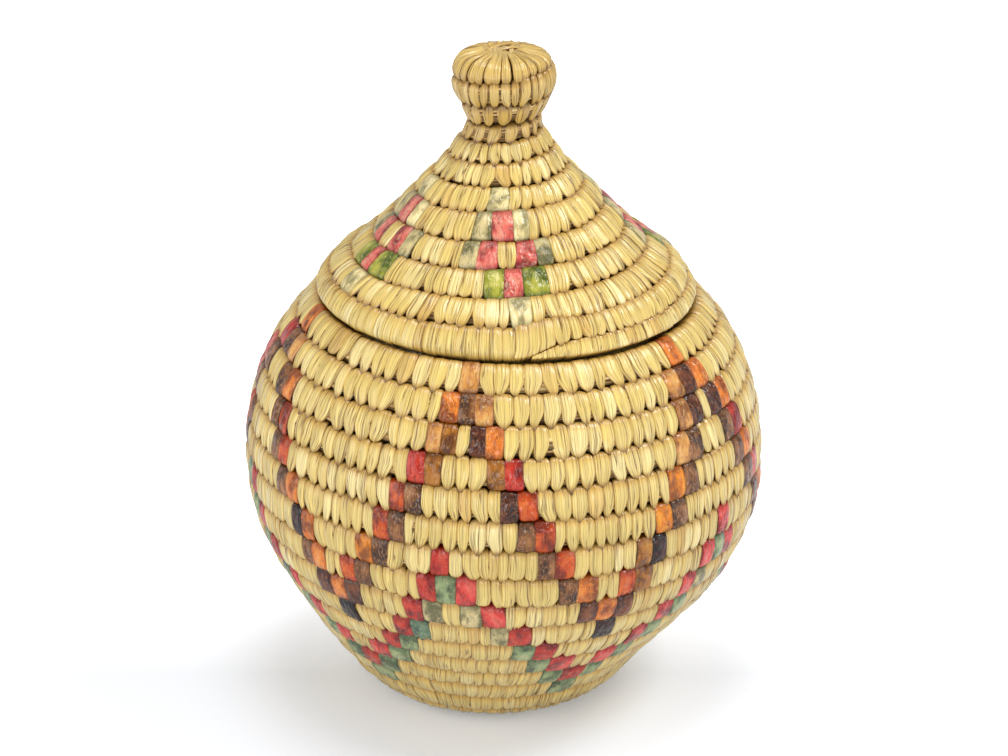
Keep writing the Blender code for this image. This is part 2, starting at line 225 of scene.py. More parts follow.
@dataclass(frozen=True)
class PalmStrip:
    """Split palm leaf, undyed: a tough satin ribbon with fine lengthwise veins, drawn tight over the cord.

    It gives soft highlights along each wrap, which the veins break into streaks. Where it is tucked between
    the rows and at its edges it is painted golden and then dark brown, which is painted shade with some
    browning. The creases are drawn coarser than the leaf's own, because those are too fine to show in the
    render, and are painted dark, which is painted shade in them. Each ink is how dark a line is drawn, and
    each pair of tones is what a pattern does to the colour at its lowest and at its highest.
    """

    name: str = "palm_strip_undyed"
    straw: str = "#D4B969"
    pale: str = "#E4CF8C"
    toasted: str = "#C8A358"
    # golden and shaded_and_browned are the colours of painted shade, with some browning, where the strip is
    # tucked between rows and at its edges.
    golden: str = "#B88B3A"
    shaded_and_browned: str = "#5F3A12"
    pale_until: float = 0.25
    toasted_from: float = 0.94
    ior: float = 1.48
    roughness: float = 0.31
    rougher: float = 0.14
    smoother: float = 0.08
    sheen: float = 0.20
    wax: float = 0.95
    wax_roughness: float = 0.22
    vein_spacing_mm: float = 0.26
    vein_stretch: float = 0.018
    vein_line: float = 0.044
    vein_ink: float = 0.34
    vein_tones: tuple[float, float] = (0.87, 1.10)
    vein_relief: float = 0.30
    crease_spacing_mm: float = 1.0
    crease_stretch: float = 0.022
    crease_line: float = 0.029
    # The crease lines are painted dark: painted shade in the creases.
    crease_ink: float = 0.86
    crease_groove: float = 0.25
    crease_depth_mm: float = 0.34
    crease_shading: float = 0.30
    blotches_per_mm: float = 0.33
    blotch_stretch: float = 0.35
    blotch_tones: tuple[float, float] = (0.93, 1.05)
    # The mask of painted shade and browning turns the strip golden first, then dark brown.
    gilded_at: float = 0.40
    gilding: float = 0.70
    shaded_and_browned_span: tuple[float, float] = (0.50, 1.12)
    shading_and_browning: float = 0.96

    def material(self) -> bpy.types.Material:
        """Builds the material.

        Returns:
            The finished material.
        """
        made, tree = blank_material(self.name)
        place, chance, shade_and_browning = read_strip(tree)
        veins = streaks(tree, place, 0.5 / self.vein_spacing_mm, self.vein_stretch, 2.0)
        creases = streaks(tree, place, 1.0 / self.crease_spacing_mm, self.crease_stretch)
        blotches = streaks(tree, place, self.blotches_per_mm, self.blotch_stretch, 2.0)
        coarse = lines(tree, creases, self.crease_line)
        fine = lines(tree, veins, self.vein_line)
        leaf = add_node(tree, "ShaderNodeValToRGB", None, {"Fac": chance})
        set_stops(
            leaf.color_ramp,
            (
                (0.0, self.pale),
                (self.pale_until, self.straw),
                (self.toasted_from, self.straw),
                (1.0, self.toasted),
            ),
        )
        streaked = add_node(tree, MAP_RANGE, None, (veins, *NOISE_SPAN, *self.vein_tones))
        blotched = add_node(tree, MAP_RANGE, None, (blotches, *NOISE_SPAN, *self.blotch_tones))
        tone = add_node(tree, MATH, {"operation": "MULTIPLY"}, (streaked, blotched))
        toned = add_node(tree, "ShaderNodeVectorMath", {"operation": "SCALE"}, {0: leaf, "Scale": tone})
        # Painted shade with some browning: golden first, where the strip nears a seam or an edge.
        gold = add_node(tree, MAP_RANGE, None, (shade_and_browning, 0.0, self.gilded_at, 0.0, self.gilding))
        gilded = add_node(
            tree,
            "ShaderNodeMix",
            {"data_type": "RGBA"},
            {"Factor": gold, 6: toned, 7: linear(self.golden)},
        ).outputs[2]
        # Dark crease lines: painted shade in the creases.
        dark_creases = add_node(tree, MATH, {"operation": "MULTIPLY"}, (coarse, self.crease_ink))
        dark_veins = add_node(tree, MATH, {"operation": "MULTIPLY"}, (fine, self.vein_ink))
        drawn = add_node(tree, MATH, {"operation": "MAXIMUM"}, (dark_creases, dark_veins))
        # The creases deepen the painted shade and browning towards dark brown.
        depth = add_node(tree, MATH, {"operation": "MULTIPLY_ADD"}, (creases, self.crease_shading, shade_and_browning))
        shaded_and_browned = add_node(tree, MAP_RANGE, None, (depth, *self.shaded_and_browned_span, 0.0, self.shading_and_browning))
        darkening = add_node(tree, MATH, {"operation": "MAXIMUM"}, (drawn, shaded_and_browned))
        colour = add_node(
            tree,
            "ShaderNodeMix",
            {"data_type": "RGBA"},
            {"Factor": darkening, 6: gilded, 7: linear(self.shaded_and_browned)},
        ).outputs[2]
        ends = (self.roughness + self.rougher, self.roughness - self.smoother)
        rough = add_node(tree, MAP_RANGE, None, (veins, *NOISE_SPAN, *ends))
        grooved = add_node(tree, MATH, {"operation": "MULTIPLY_ADD"}, (coarse, -self.crease_groove, creases))
        relief = add_node(tree, MATH, {"operation": "MULTIPLY_ADD"}, (veins, self.vein_relief, grooved))
        surface = {
            "Base Color": colour,
            "Roughness": rough,
            "IOR": self.ior,
            "Specular IOR Level": self.sheen,
            "Coat Weight": self.wax,
            "Coat Roughness": self.wax_roughness,
        }
        close_material(tree, relief, self.crease_depth_mm, surface)
        return made


@dataclass(frozen=True)
class DyedStrip:
    """Palm strip dyed in a pot and drawn on wet: flatter and shinier than the undyed strip, and crinkled.

    The dye sits unevenly, so that each wrap is mottled, with pale scratches where it has rubbed off, which
    also stand for glints, and pale fold lines that are painted highlights. Dark fold lines are painted shade
    in the folds, and the darkening at its edges and where it is tucked between rows is painted shade too. The
    crinkles are drawn coarser than the strip's own, because those are too fine to show in the render.
    """

    name: str
    colour: str
    deep: str
    # The pale colour stands for worn dye and for painted glints and highlights.
    pale_wear_and_glint: str
    deep_until: float = 0.30
    colour_at: float = 0.50
    ior: float = 1.5
    roughness: float = 0.30
    rougher: float = 0.15
    smoother: float = 0.05
    sheen: float = 0.15
    film: float = 0.60
    film_roughness: float = 0.13
    mottles_per_mm: float = 0.25
    mottle_stretch: float = 0.60
    mottle_shades: tuple[float, float] = (0.20, 0.62)
    chance_shade: float = 0.10
    crinkle_spacing_mm: float = 2.3
    crinkle_stretch: float = 0.55
    crinkle_depth_mm: float = 1.10
    fold_line: float = 0.026
    # Pale fold lines along the crinkles: painted highlights.
    fold_highlight: float = 0.45
    fold_relief: float = 0.10
    scratches_per_mm: float = 2.0
    scratch_stretch: float = 0.32
    scratch_span: tuple[float, float] = (0.55, 0.70)
    scratch_relief: float = 0.025
    # Pale scratches: worn dye, and painted glints.
    scratch_wear_and_glint: float = 0.18
    # Dark fold lines: painted shade in the folds.
    fold_shades_per_mm: float = 0.7
    fold_shade_stretch: float = 0.25
    fold_shade_line: float = 0.020
    fold_shade_ink: float = 0.8
    # Painted shade at the edges and where the strip is tucked between rows.
    shade_and_browning_span: tuple[float, float] = (0.05, 0.75)

    def material(self) -> bpy.types.Material:
        """Builds the material.

        Returns:
            The finished material.
        """
        made, tree = blank_material(self.name)
        place, chance, shade_and_browning = read_strip(tree)
        mottle = streaks(tree, place, self.mottles_per_mm, self.mottle_stretch, 2.0)
        crinkle = streaks(tree, place, 1.0 / self.crinkle_spacing_mm, self.crinkle_stretch, 1.5)
        scratches = streaks(tree, place, self.scratches_per_mm, self.scratch_stretch, 3.0)
        folds = lines(tree, crinkle, self.fold_line)
        # Dark fold lines: painted shade in the folds.
        fold_shades = lines(tree, streaks(tree, place, self.fold_shades_per_mm, self.fold_shade_stretch), self.fold_shade_line)
        mottled = add_node(tree, MAP_RANGE, None, (mottle, *NOISE_SPAN, *self.mottle_shades))
        shade = add_node(tree, MATH, {"operation": "MULTIPLY_ADD"}, (chance, self.chance_shade, mottled))
        dye = add_node(tree, "ShaderNodeValToRGB", None, {"Fac": shade})
        set_stops(
            dye.color_ramp,
            ((self.deep_until, self.deep), (self.colour_at, self.colour), (1.0, self.pale_wear_and_glint)),
        )
        # Pale scratches: worn dye and painted glints.
        scratched = add_node(tree, MAP_RANGE, None, (scratches, *self.scratch_span, 0.0, self.scratch_wear_and_glint))
        # Pale fold lines: painted highlights.
        folded = add_node(tree, MAP_RANGE, None, (folds, 0.0, 1.0, 0.0, self.fold_highlight))
        # worn here holds the pale scratches and the painted highlights on the folds.
        worn = add_node(tree, MATH, {"operation": "MAXIMUM"}, (scratched, folded))
        pale_wear_and_glint = add_node(
            tree,
            "ShaderNodeMix",
            {"data_type": "RGBA"},
            {"Factor": worn, 6: dye, 7: linear(self.pale_wear_and_glint)},
        ).outputs[2]
        # Dark fold lines: painted shade.
        fold_shaded = add_node(tree, MATH, {"operation": "MULTIPLY"}, (fold_shades, self.fold_shade_ink))
        # Painted shade at the edges and between rows, towards the deep colour.
        shaded_and_browned = add_node(tree, MAP_RANGE, None, (shade_and_browning, *self.shade_and_browning_span, 0.0, 1.0))
        dark = add_node(tree, MATH, {"operation": "MAXIMUM"}, (fold_shaded, shaded_and_browned))
        colour = add_node(
            tree,
            "ShaderNodeMix",
            {"data_type": "RGBA"},
            {"Factor": dark, 6: pale_wear_and_glint, 7: linear(self.deep)},
        ).outputs[2]
        ends = (self.roughness + self.rougher, self.roughness - self.smoother)
        rough = add_node(tree, MAP_RANGE, None, (crinkle, *NOISE_SPAN, *ends))
        folded_up = (folds, self.fold_relief, crinkle)
        creased = add_node(tree, MATH, {"operation": "MULTIPLY_ADD"}, folded_up)
        scored = (scratches, self.scratch_relief, creased)
        relief = add_node(tree, MATH, {"operation": "MULTIPLY_ADD"}, scored)
        surface = {
            "Base Color": colour,
            "Roughness": rough,
            "IOR": self.ior,
            "Specular IOR Level": self.sheen,
            "Coat Weight": self.film,
            "Coat Roughness": self.film_roughness,
        }
        close_material(tree, relief, self.crinkle_depth_mm, surface)
        return made


@dataclass(frozen=True)
class DryGrass:
    """The bundle of dry grass inside the cord: matte stalks side by side, dark in the gaps between them.

    The dark between the stalks and where two rows meet is painted shade. mapped says that the mesh carries a
    map. A mesh without one is read by its place in space.
    """

    name: str = "dry_grass_bundle"
    stalk: str = "#B08A4E"
    pale: str = "#DCC184"
    # The dark colour painted between the stalks and where the rows meet: painted shade.
    gap_shade: str = "#4A2F12"
    gap_shade_until: float = 0.42
    stalk_at: float = 0.55
    pale_from: float = 0.70
    ior: float = 1.45
    roughness: float = 0.75
    stalk_mm: float = 0.9
    stalk_stretch: float = 0.03
    stalk_relief_mm: float = 0.5
    mapped: bool = True

    def material(self) -> bpy.types.Material:
        """Builds the material.

        Returns:
            The finished material.
        """
        made, tree = blank_material(self.name)
        place, _, shade_and_browning = read_strip(tree)
        if not self.mapped:
            spot = add_node(tree, "ShaderNodeTexCoord").outputs["Object"]
            links = {0: spot, "Scale": 1.0 / MM}
            place = add_node(tree, "ShaderNodeVectorMath", {"operation": "SCALE"}, links).outputs["Vector"]
        stalks = streaks(tree, place, 1.0 / self.stalk_mm, self.stalk_stretch, 3.0)
        # Dark between the stalks: painted shade.
        grass = add_node(tree, "ShaderNodeValToRGB", None, {"Fac": stalks})
        set_stops(
            grass.color_ramp,
            ((self.gap_shade_until, self.gap_shade), (self.stalk_at, self.stalk), (self.pale_from, self.pale)),
        )
        # Dark where two rows meet: painted shade.
        colour = add_node(
            tree,
            "ShaderNodeMix",
            {"data_type": "RGBA"},
            {"Factor": shade_and_browning, 6: grass, 7: linear(self.gap_shade)},
        ).outputs[2]
        surface = {"Base Color": colour, "Roughness": self.roughness, "IOR": self.ior}
        close_material(tree, stalks, self.stalk_relief_mm, surface)
        return made


class Dye(Enum):
    """The strips that the basket is sewn with."""

    NATURAL = PalmStrip()
    # Each dyed strip gives its colour, its deep colour, which also serves for painted shade, and its pale
    # colour for worn dye, painted glints and highlights.
    PEACH = DyedStrip("palm_strip_dyed_peach", "#C0823E", "#7B471C", "#E1BC71")
    ORANGE = DyedStrip("palm_strip_dyed_orange", "#CC6B1D", "#7B3608", "#EAAA4F")
    AMBER = DyedStrip("palm_strip_dyed_amber", "#D17306", "#7E3D03", "#EAAB2E")
    VERMILION = DyedStrip("palm_strip_dyed_vermilion", "#B94107", "#6B1A02", "#DB7D2C")
    RED = DyedStrip("palm_strip_dyed_red", "#AE2111", "#640B05", "#CE5E3B")
    PINK = DyedStrip("palm_strip_dyed_pink", "#CE382F", "#7A181A", "#E07E66")
    CRIMSON = DyedStrip("palm_strip_dyed_crimson", "#CA564B", "#782522", "#E2BC9A")
    TAN = DyedStrip("palm_strip_dyed_tan", "#975A10", "#542A04", "#C99036")
    BROWN = DyedStrip("palm_strip_dyed_brown", "#6F411C", "#341A07", "#BB844C", scratch_wear_and_glint=0.50)
    DARK = DyedStrip("palm_strip_dyed_dark_brown", "#4D1E06", "#230802", "#9E5D2B", scratch_wear_and_glint=0.50)
    BLACK = DyedStrip("palm_strip_dyed_black", "#230802", "#0A0201", "#5F2E17", scratch_wear_and_glint=0.50)
    SAGE = DyedStrip("palm_strip_dyed_sage", "#B7A673", "#5E5B37", "#E7CC92")
    GREEN = DyedStrip("palm_strip_dyed_green", "#869666", "#3D4E32", "#C3BA85")
    TEAL = DyedStrip("palm_strip_dyed_teal", "#607A5C", "#2A4233", "#A9AC88")
    LIME = DyedStrip("palm_strip_dyed_lime", "#91922A", "#42500F", "#D5C66A")
    PALE_GREEN = DyedStrip("palm_strip_dyed_pale_green", "#DBC68C", "#857B4E", "#F1E5B0")


LETTERS: dict[str, Dye] = {
    "p": Dye.PEACH,
    "o": Dye.ORANGE,
    "a": Dye.AMBER,
    "v": Dye.VERMILION,
    "r": Dye.RED,
    "k": Dye.PINK,
    "t": Dye.TAN,
    "b": Dye.BROWN,
    "d": Dye.DARK,
    "x": Dye.BLACK,
    "s": Dye.SAGE,
    "g": Dye.GREEN,
    "e": Dye.TEAL,
    "l": Dye.LIME,
    "w": Dye.PALE_GREEN,
    "h": Dye.CRIMSON,
}


class Finishes:
    """The materials, each built once."""

    def __init__(self) -> None:
        """Starts with no material built."""
        self.built: dict[str, bpy.types.Material] = {}

    def of(self, finish: PalmStrip | DyedStrip | DryGrass) -> bpy.types.Material:
        """Gives the material of a finish, building it the first time.

        Args:
            finish: the finish.

        Returns:
            Its material.
        """
        if finish.name not in self.built:
            self.built[finish.name] = finish.material()
        return self.built[finish.name]


@dataclass
class Outline:
    """A skin outline as radius and height, read by the length run along it.

    side is 1 where it runs upward, and -1 where it runs downward.
    """

    points: np.ndarray
    side: int
    lengths: np.ndarray = field(init=False)
    outward: np.ndarray = field(init=False)

    def __post_init__(self) -> None:
        """Measures the outline and finds which way it faces."""
        steps = np.diff(self.points, axis=0)
        self.lengths = np.concatenate([[0.0], np.cumsum(np.hypot(steps[:, 0], steps[:, 1]))])
        along = np.gradient(self.points, axis=0)
        faces = np.stack([along[:, 1], -along[:, 0]], axis=1) * self.side
        self.outward = faces / np.linalg.norm(faces, axis=1, keepdims=True)

    def at(self, length: np.ndarray) -> tuple[np.ndarray, np.ndarray]:
        """Reads the outline.

        Args:
            length: lengths along it.

        Returns:
            The points there and their outward directions.
        """
        point, facing = (
            np.stack([np.interp(length, self.lengths, values[:, axis]) for axis in (0, 1)], axis=-1)
            for values in (self.points, self.outward)
        )
        facing /= np.linalg.norm(facing, axis=-1, keepdims=True)
        past = (length - np.clip(length, 0.0, self.lengths[-1]))[..., None]
        along = np.stack([-facing[..., 1], facing[..., 0]], axis=-1) * self.side
        return point + along * past, facing

    def nearest(self, places: np.ndarray) -> np.ndarray:
        """Finds the lengths at which the outline passes nearest to some places."""
        gaps = np.linalg.norm(places[:, None] - self.points[None], axis=-1)
        return self.lengths[gaps.argmin(axis=1)]


def smooth_outline(
    shares: Sequence[tuple[float, float]], width: float, height: float, base: float
) -> np.ndarray:
    """Draws a smooth curve through an outline's points.

    Args:
        shares: the points, as shares of a width and a height.
        width: the width that the first shares are of.
        height: the height that the second shares are of.
        base: the height of a share of 0.

    Returns:
        The curve's points, 16 to each stretch.
    """
    points = np.array([(across * width, base + up * height) for across, up in shares])
    ends = np.vstack([points[0] * 2 - points[1], points, points[-1] * 2 - points[-2]])
    curve = [points[0]]
    for before, start, end, after in zip(ends, ends[1:], ends[2:], ends[3:]):
        for t in np.arange(1, 17) / 16:
            curve.append(
                (
                    start * 2
                    + (end - before) * t
                    + (before * 2 - start * 5 + end * 4 - after) * t**2
                    + (start * 3 - before - end * 3 + after) * t**3
                )
                / 2
            )
    return np.array(curve)


def smooth_step(share: np.ndarray) -> np.ndarray:
    """Eases a share from 0 to 1, with no jerk at either end."""
    kept = np.clip(share, 0.0, 1.0)
    return kept * kept * (3.0 - 2.0 * kept)


@dataclass
class Coil:
    """A coil of cord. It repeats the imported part's own rule for where each row lies.

    rows is how many rows lie between the start and the end. The last squeezed_rows of them give way to the
    edge that they end on, and rim says how far past the last row that edge lies. place gives the cord's middle
    at a row, its outward direction, and how far the skin lies outside the middle. rises says that later rows
    lie higher. wander is how far the rows sway, as a share of a row. least_width is of a row, and thin_width
    is the width below which the cord is thinner too, down to thinnest.
    """

    rows: float
    end_angle: float
    squeezed_rows: int
    taper_turns: float
    rim: Callable[[np.ndarray], np.ndarray]
    place: Callable[[np.ndarray], tuple[np.ndarray, np.ndarray, np.ndarray]]
    turns: float
    rises: bool
    wander: float = 0.035
    wander_rates: tuple[float, ...] = (1.13, 2.31, 3.47, 5.21, 7.3, 9.7)  # waves a turn
    seed: int = 3
    steps: int = 180
    least_width: float = 0.10
    thin_width: float = 0.35
    thinnest: float = 0.3
    left: np.ndarray = field(init=False)
    inner: np.ndarray = field(init=False)
    outer: np.ndarray = field(init=False)
    radius: np.ndarray = field(init=False)
    length: np.ndarray = field(init=False)

    def __post_init__(self) -> None:
        """Measures the coil at many places, from its end back to its start."""
        self.left = np.linspace(0.0, self.turns, round(self.turns * self.steps) + 1)
        self.inner, self.outer = self.edge(self.left), self.edge(self.left - 1.0)
        self.outer = np.maximum(self.outer, self.inner + self.least_width)
        middle, facing, depth = self.place((self.inner + self.outer) / 2)
        self.radius = np.maximum(middle[:, 0] + facing[:, 0] * depth, MM)
        steps = np.diff(self.left) * math.tau * (self.radius[1:] + self.radius[:-1]) / 2
        self.length = np.concatenate([[0.0], np.cumsum(steps)])

    def angle(self, left: np.ndarray) -> np.ndarray:
        """Gives the azimuth at the turns left, in radians."""
        return self.end_angle + math.tau * left

    def edge(self, left: np.ndarray) -> np.ndarray:
        """Finds the row at which the cord's inner seam lies.

        Args:
            left: turns left before the end.

        Returns:
            The seam's row.
        """
        squeeze = np.mod(-left, 1.0)
        full = 1.0 - self.taper_turns
        share = np.clip((squeeze - full) / self.taper_turns, 0.0, 1.0)
        squeeze = np.where(squeeze > full, full * (1.0 - smooth_step(share)), squeeze)
        rim = self.rim(self.angle(left))
        below = np.maximum(left + squeeze, 0.0)
        squeezed = self.rows + rim - below * (self.squeezed_rows - squeeze + rim) / max(self.squeezed_rows, 1)
        seam = np.where(below >= self.squeezed_rows, self.rows - left, squeezed)
        phases = np.random.default_rng(self.seed).uniform(0.0, math.tau, len(self.wander_rates))
        waves = sum(
            np.sin(left * math.tau * rate + phase) for rate, phase in zip(self.wander_rates, phases)
        )
        steady_end = smooth_step((left - 0.3) / 2.0)
        return seam + self.wander * waves / 3 * steady_end

    def read(self, left: np.ndarray, values: np.ndarray) -> np.ndarray:
        """Reads one of the coil's measures at the turns left."""
        return np.interp(left, self.left, values)

    def at_length(self, length: np.ndarray) -> np.ndarray:
        """Gives the turns left at a length along the cord."""
        return np.interp(length, self.length, self.left)

    def to_length(self, left: np.ndarray) -> np.ndarray:
        """Gives the length along the cord at the turns left."""
        return np.interp(left, self.left, self.length)

    def row(self, left: np.ndarray, up: np.ndarray) -> np.ndarray:
        """Gives the row at a height on the cord.

        Args:
            left: turns left before the end.
            up: height above the cord's middle, as a share of its half height.

        Returns:
            The row.
        """
        inner, outer = self.read(left, self.inner), self.read(left, self.outer)
        way = 1.0 if self.rises else -1.0
        return (inner + outer) / 2 + way * up * (outer - inner) / 2

    def space(self, left: np.ndarray, row: np.ndarray, out: np.ndarray, proud: np.ndarray) -> np.ndarray:
        """Places points by the skin that they lie under.

        Args:
            left: turns left before the end, for each point.
            row: the row of each point.
            out: how far outward from the cord's middle, as a share of the way to the skin.
            proud: how far further out, in metres.

        Returns:
            The points in space.
        """
        middle, facing, depth = self.place(row)
        width = self.read(left, self.outer - self.inner)
        thin = self.thinnest + (1.0 - self.thinnest) * np.clip(width / self.thin_width, 0.0, 1.0)
        way = depth * (1.0 - thin) + out * depth * thin + proud
        radius = middle[..., 0] + facing[..., 0] * way
        height = middle[..., 1] + facing[..., 1] * way
        turn = self.angle(left)
        return np.stack([radius * np.sin(turn), -radius * np.cos(turn), height], axis=-1)


# A wrap's way round the cord, from the top of the row over its face and round the back. Each station is a
# height and a distance outward, as shares of the cord's half height and of the way to the skin, and the
# wrap's width there, as a share of its width.
Stations = tuple[tuple[float, float, float], ...]
DOMED_TOP: Stations = (
    (1.05, 0.20, 0.46),
    (1.09, 0.50, 0.58),
    (1.06, 0.67, 0.73),
    (0.99, 0.79, 0.86),
    (0.88, 0.88, 0.95),
    (0.70, 0.945, 1.00),
    (0.47, 0.985, 1.00),
    (0.25, 1.00, 1.00),
)
STRAIGHT_TOP: Stations = (
    (1.03, 0.25, 0.94),
    (1.025, 0.56, 0.96),
    (0.975, 0.73, 0.98),
    (0.90, 0.84, 1.00),
    (0.78, 0.91, 1.00),
    (0.63, 0.955, 1.00),
    (0.45, 0.985, 1.00),
    (0.25, 1.00, 1.00),
)
LACED_TOP: Stations = (
    (2.30, 0.40, 0.92),
    (1.85, 0.47, 0.95),
    (1.45, 0.56, 0.97),
    (1.10, 0.69, 0.99),
    (0.83, 0.83, 1.00),
    (0.63, 0.93, 1.00),
    (0.45, 0.98, 1.00),
    (0.25, 1.00, 1.00),
)
LENS_TOP: Stations = (
    (1.03, 0.25, 0.34),
    (1.02, 0.50, 0.46),
    (0.97, 0.68, 0.60),
    (0.89, 0.79, 0.74),
    (0.78, 0.88, 0.85),
    (0.63, 0.945, 0.93),
    (0.45, 0.98, 0.98),
    (0.25, 1.00, 1.00),
)
FACE: Stations = ((0.05, 1.00, 1.00), (-0.15, 1.00, 1.00))
POINTED_FOOT: Stations = (
    (-0.33, 0.995, 0.96),
    (-0.50, 0.985, 0.90),
    (-0.66, 0.970, 0.83),
    (-0.81, 0.950, 0.74),
    (-0.95, 0.925, 0.64),
    (-1.08, 0.905, 0.52),
    (-1.19, 0.895, 0.40),
    (-1.28, 0.885, 0.27),
    (-1.34, 0.800, 0.13),
)
SCALLOPED_FOOT: Stations = (
    (-0.35, 0.995, 1.00),
    (-0.52, 0.985, 0.99),
    (-0.68, 0.970, 0.97),
    (-0.80, 0.950, 0.93),
    (-0.92, 0.925, 0.86),
    (-1.02, 0.900, 0.76),
    (-1.11, 0.880, 0.62),
    (-1.18, 0.860, 0.46),
    (-1.23, 0.760, 0.28),
)
SQUARE_FOOT: Stations = (
    (-0.35, 0.995, 1.00),
    (-0.52, 0.985, 1.00),
    (-0.68, 0.965, 1.00),
    (-0.82, 0.935, 0.99),
    (-0.94, 0.89, 0.97),
    (-1.04, 0.83, 0.94),
    (-1.10, 0.75, 0.90),
    (-1.14, 0.64, 0.85),
    (-1.15, 0.48, 0.80),
)
ROUND_FOOT: Stations = (
    (-0.35, 0.99, 1.00),
    (-0.52, 0.96, 1.00),
    (-0.68, 0.90, 1.00),
    (-0.80, 0.82, 1.00),
    (-0.89, 0.72, 1.00),
    (-0.95, 0.60, 1.00),
    (-0.985, 0.46, 1.00),
    (-1.00, 0.30, 1.00),
    (-1.005, 0.12, 1.00),
)
BACK: Stations = (
    (-1.00, -0.25, 0.90),
    (-0.95, -0.62, 0.97),
    (-0.78, -0.87, 1.00),
    (-0.35, -0.99, 1.00),
    (0.35, -0.99, 1.00),
    (0.78, -0.87, 1.00),
    (0.95, -0.62, 0.97),
    (1.00, -0.25, 0.90),
)
ACROSS = np.array([-1.0, -0.88, -0.68, -0.46, -0.23, 0.0, 0.23, 0.46, 0.68, 0.88, 1.0])


@dataclass(frozen=True)
class WrapStyle:
    """How the strip is laid over the cord in one part of the coil.

    bulge is how far a wrap's sides lie below its middle, edge_drop how far its very edges do, and lean how
    far its tip goes to the gap below it, all as shares. overlap is its width, of the room that it has. flush
    is how many turns past the start of a row the cord lies flat, and worn is how browned the strip is.
    """

    top: Stations = DOMED_TOP
    foot: Stations = POINTED_FOOT
    bulge: float = 0.05
    edge_drop: float = 0.075
    lean: float = 0.55
    overlap: float = 1.09
    flush: float = 0.0
    worn: float = 0.0


@dataclass(frozen=True)
class Hand:
    """How uneven the maker's hand is: the spread of each measure, as a share of a wrap's own or in metres."""

    width: float = 0.15
    height: float = 0.035
    foot: float = 0.30
    slant: float = 0.05
    flare: float = 0.03
    dyed_flare: float = 0.07
    size: float = 0.014
    fold: float = 0.00012  # metres
    twist: float = 0.00011  # metres
    loose_fold: float = 0.00010  # metres


HAND = Hand()
DYED_LEAN = 0.3  # of an undyed wrap's lean
DYED_BULGE = 0.5  # of an undyed wrap's bulge
DYED_PROUD = 0.00025  # how far a dyed wrap stands out past the others
WIDEST_SPOT_MM = 400.0  # wraps take their streaks from places this far apart at most
# Painted shade: strips are darkened from here out to their edges, where two wraps meet.
EDGE_SHADE_FROM = 0.84  # where the dark edge of a strip begins, as a share of its half width
HALF_ROW_MM = 4.5
CORD_DEPTH_MM = 5.2


@dataclass
class Wraps:
    """The wraps of strip along a coil: where each starts and ends, in turns left, and its dye."""

    starts: np.ndarray
    ends: np.ndarray
    dyes: list[Dye]


@dataclass
class Batch:
    """The wraps of one run: their middles, half widths and leans in turns, and the draws that vary them."""

    middle: np.ndarray
    half: np.ndarray
    lean: np.ndarray
    plain: np.ndarray
    dyes: list[Dye]
    rng: np.random.Generator


def lay_out(
    coil: Coil,
    dyed: Sequence[tuple[float, float, Dye]],
    widths_mm: Sequence[tuple[float, float]],
    seed: int,
) -> Wraps:
    """Fills a coil with wraps: the dyed ones where the pattern has them, and undyed ones between.

    Args:
        coil: the coil.
        dyed: first and last turns left of each dyed wrap, and its dye.
        widths_mm: the widths of undyed wraps, each after the turns left at which it holds.
        seed: what the uneven widths are drawn from.

    Returns:
        The wraps from the coil's end to its start.
    """
    rng = np.random.default_rng(seed)
    last = coil.length[-1]
    rate = 1.0 / (np.interp(coil.left, *zip(*widths_mm)) * MM)
    tally = np.concatenate([[0.0], np.cumsum(np.diff(coil.length) * (rate[1:] + rate[:-1]) / 2)])
    marks = sorted(
        (float(coil.to_length(first)), float(coil.to_length(end)), dye) for first, end, dye in dyed
    )
    least_gap = 0.4  # of an undyed wrap
    cuts, dyes, place = [0.0], [], 0.0
    for first, end, dye in [*marks, (last, last, Dye.NATURAL)]:
        low, high = np.interp((place, max(first, place)), coil.length, tally)
        if high - low > least_gap:
            count = max(1, round(high - low))
            shares = np.cumsum(np.clip(rng.normal(1.0, HAND.width, count), 0.65, 1.35))
            cuts.extend(np.interp(low + (high - low) * shares / shares[-1], tally, coil.length))
            dyes.extend([Dye.NATURAL] * count)
        if end > first and end > cuts[-1]:
            cuts.append(end)
            dyes.append(dye)
        place = cuts[-1]
    left = coil.at_length(np.array(cuts))
    return Wraps(left[:-1], left[1:], dyes)


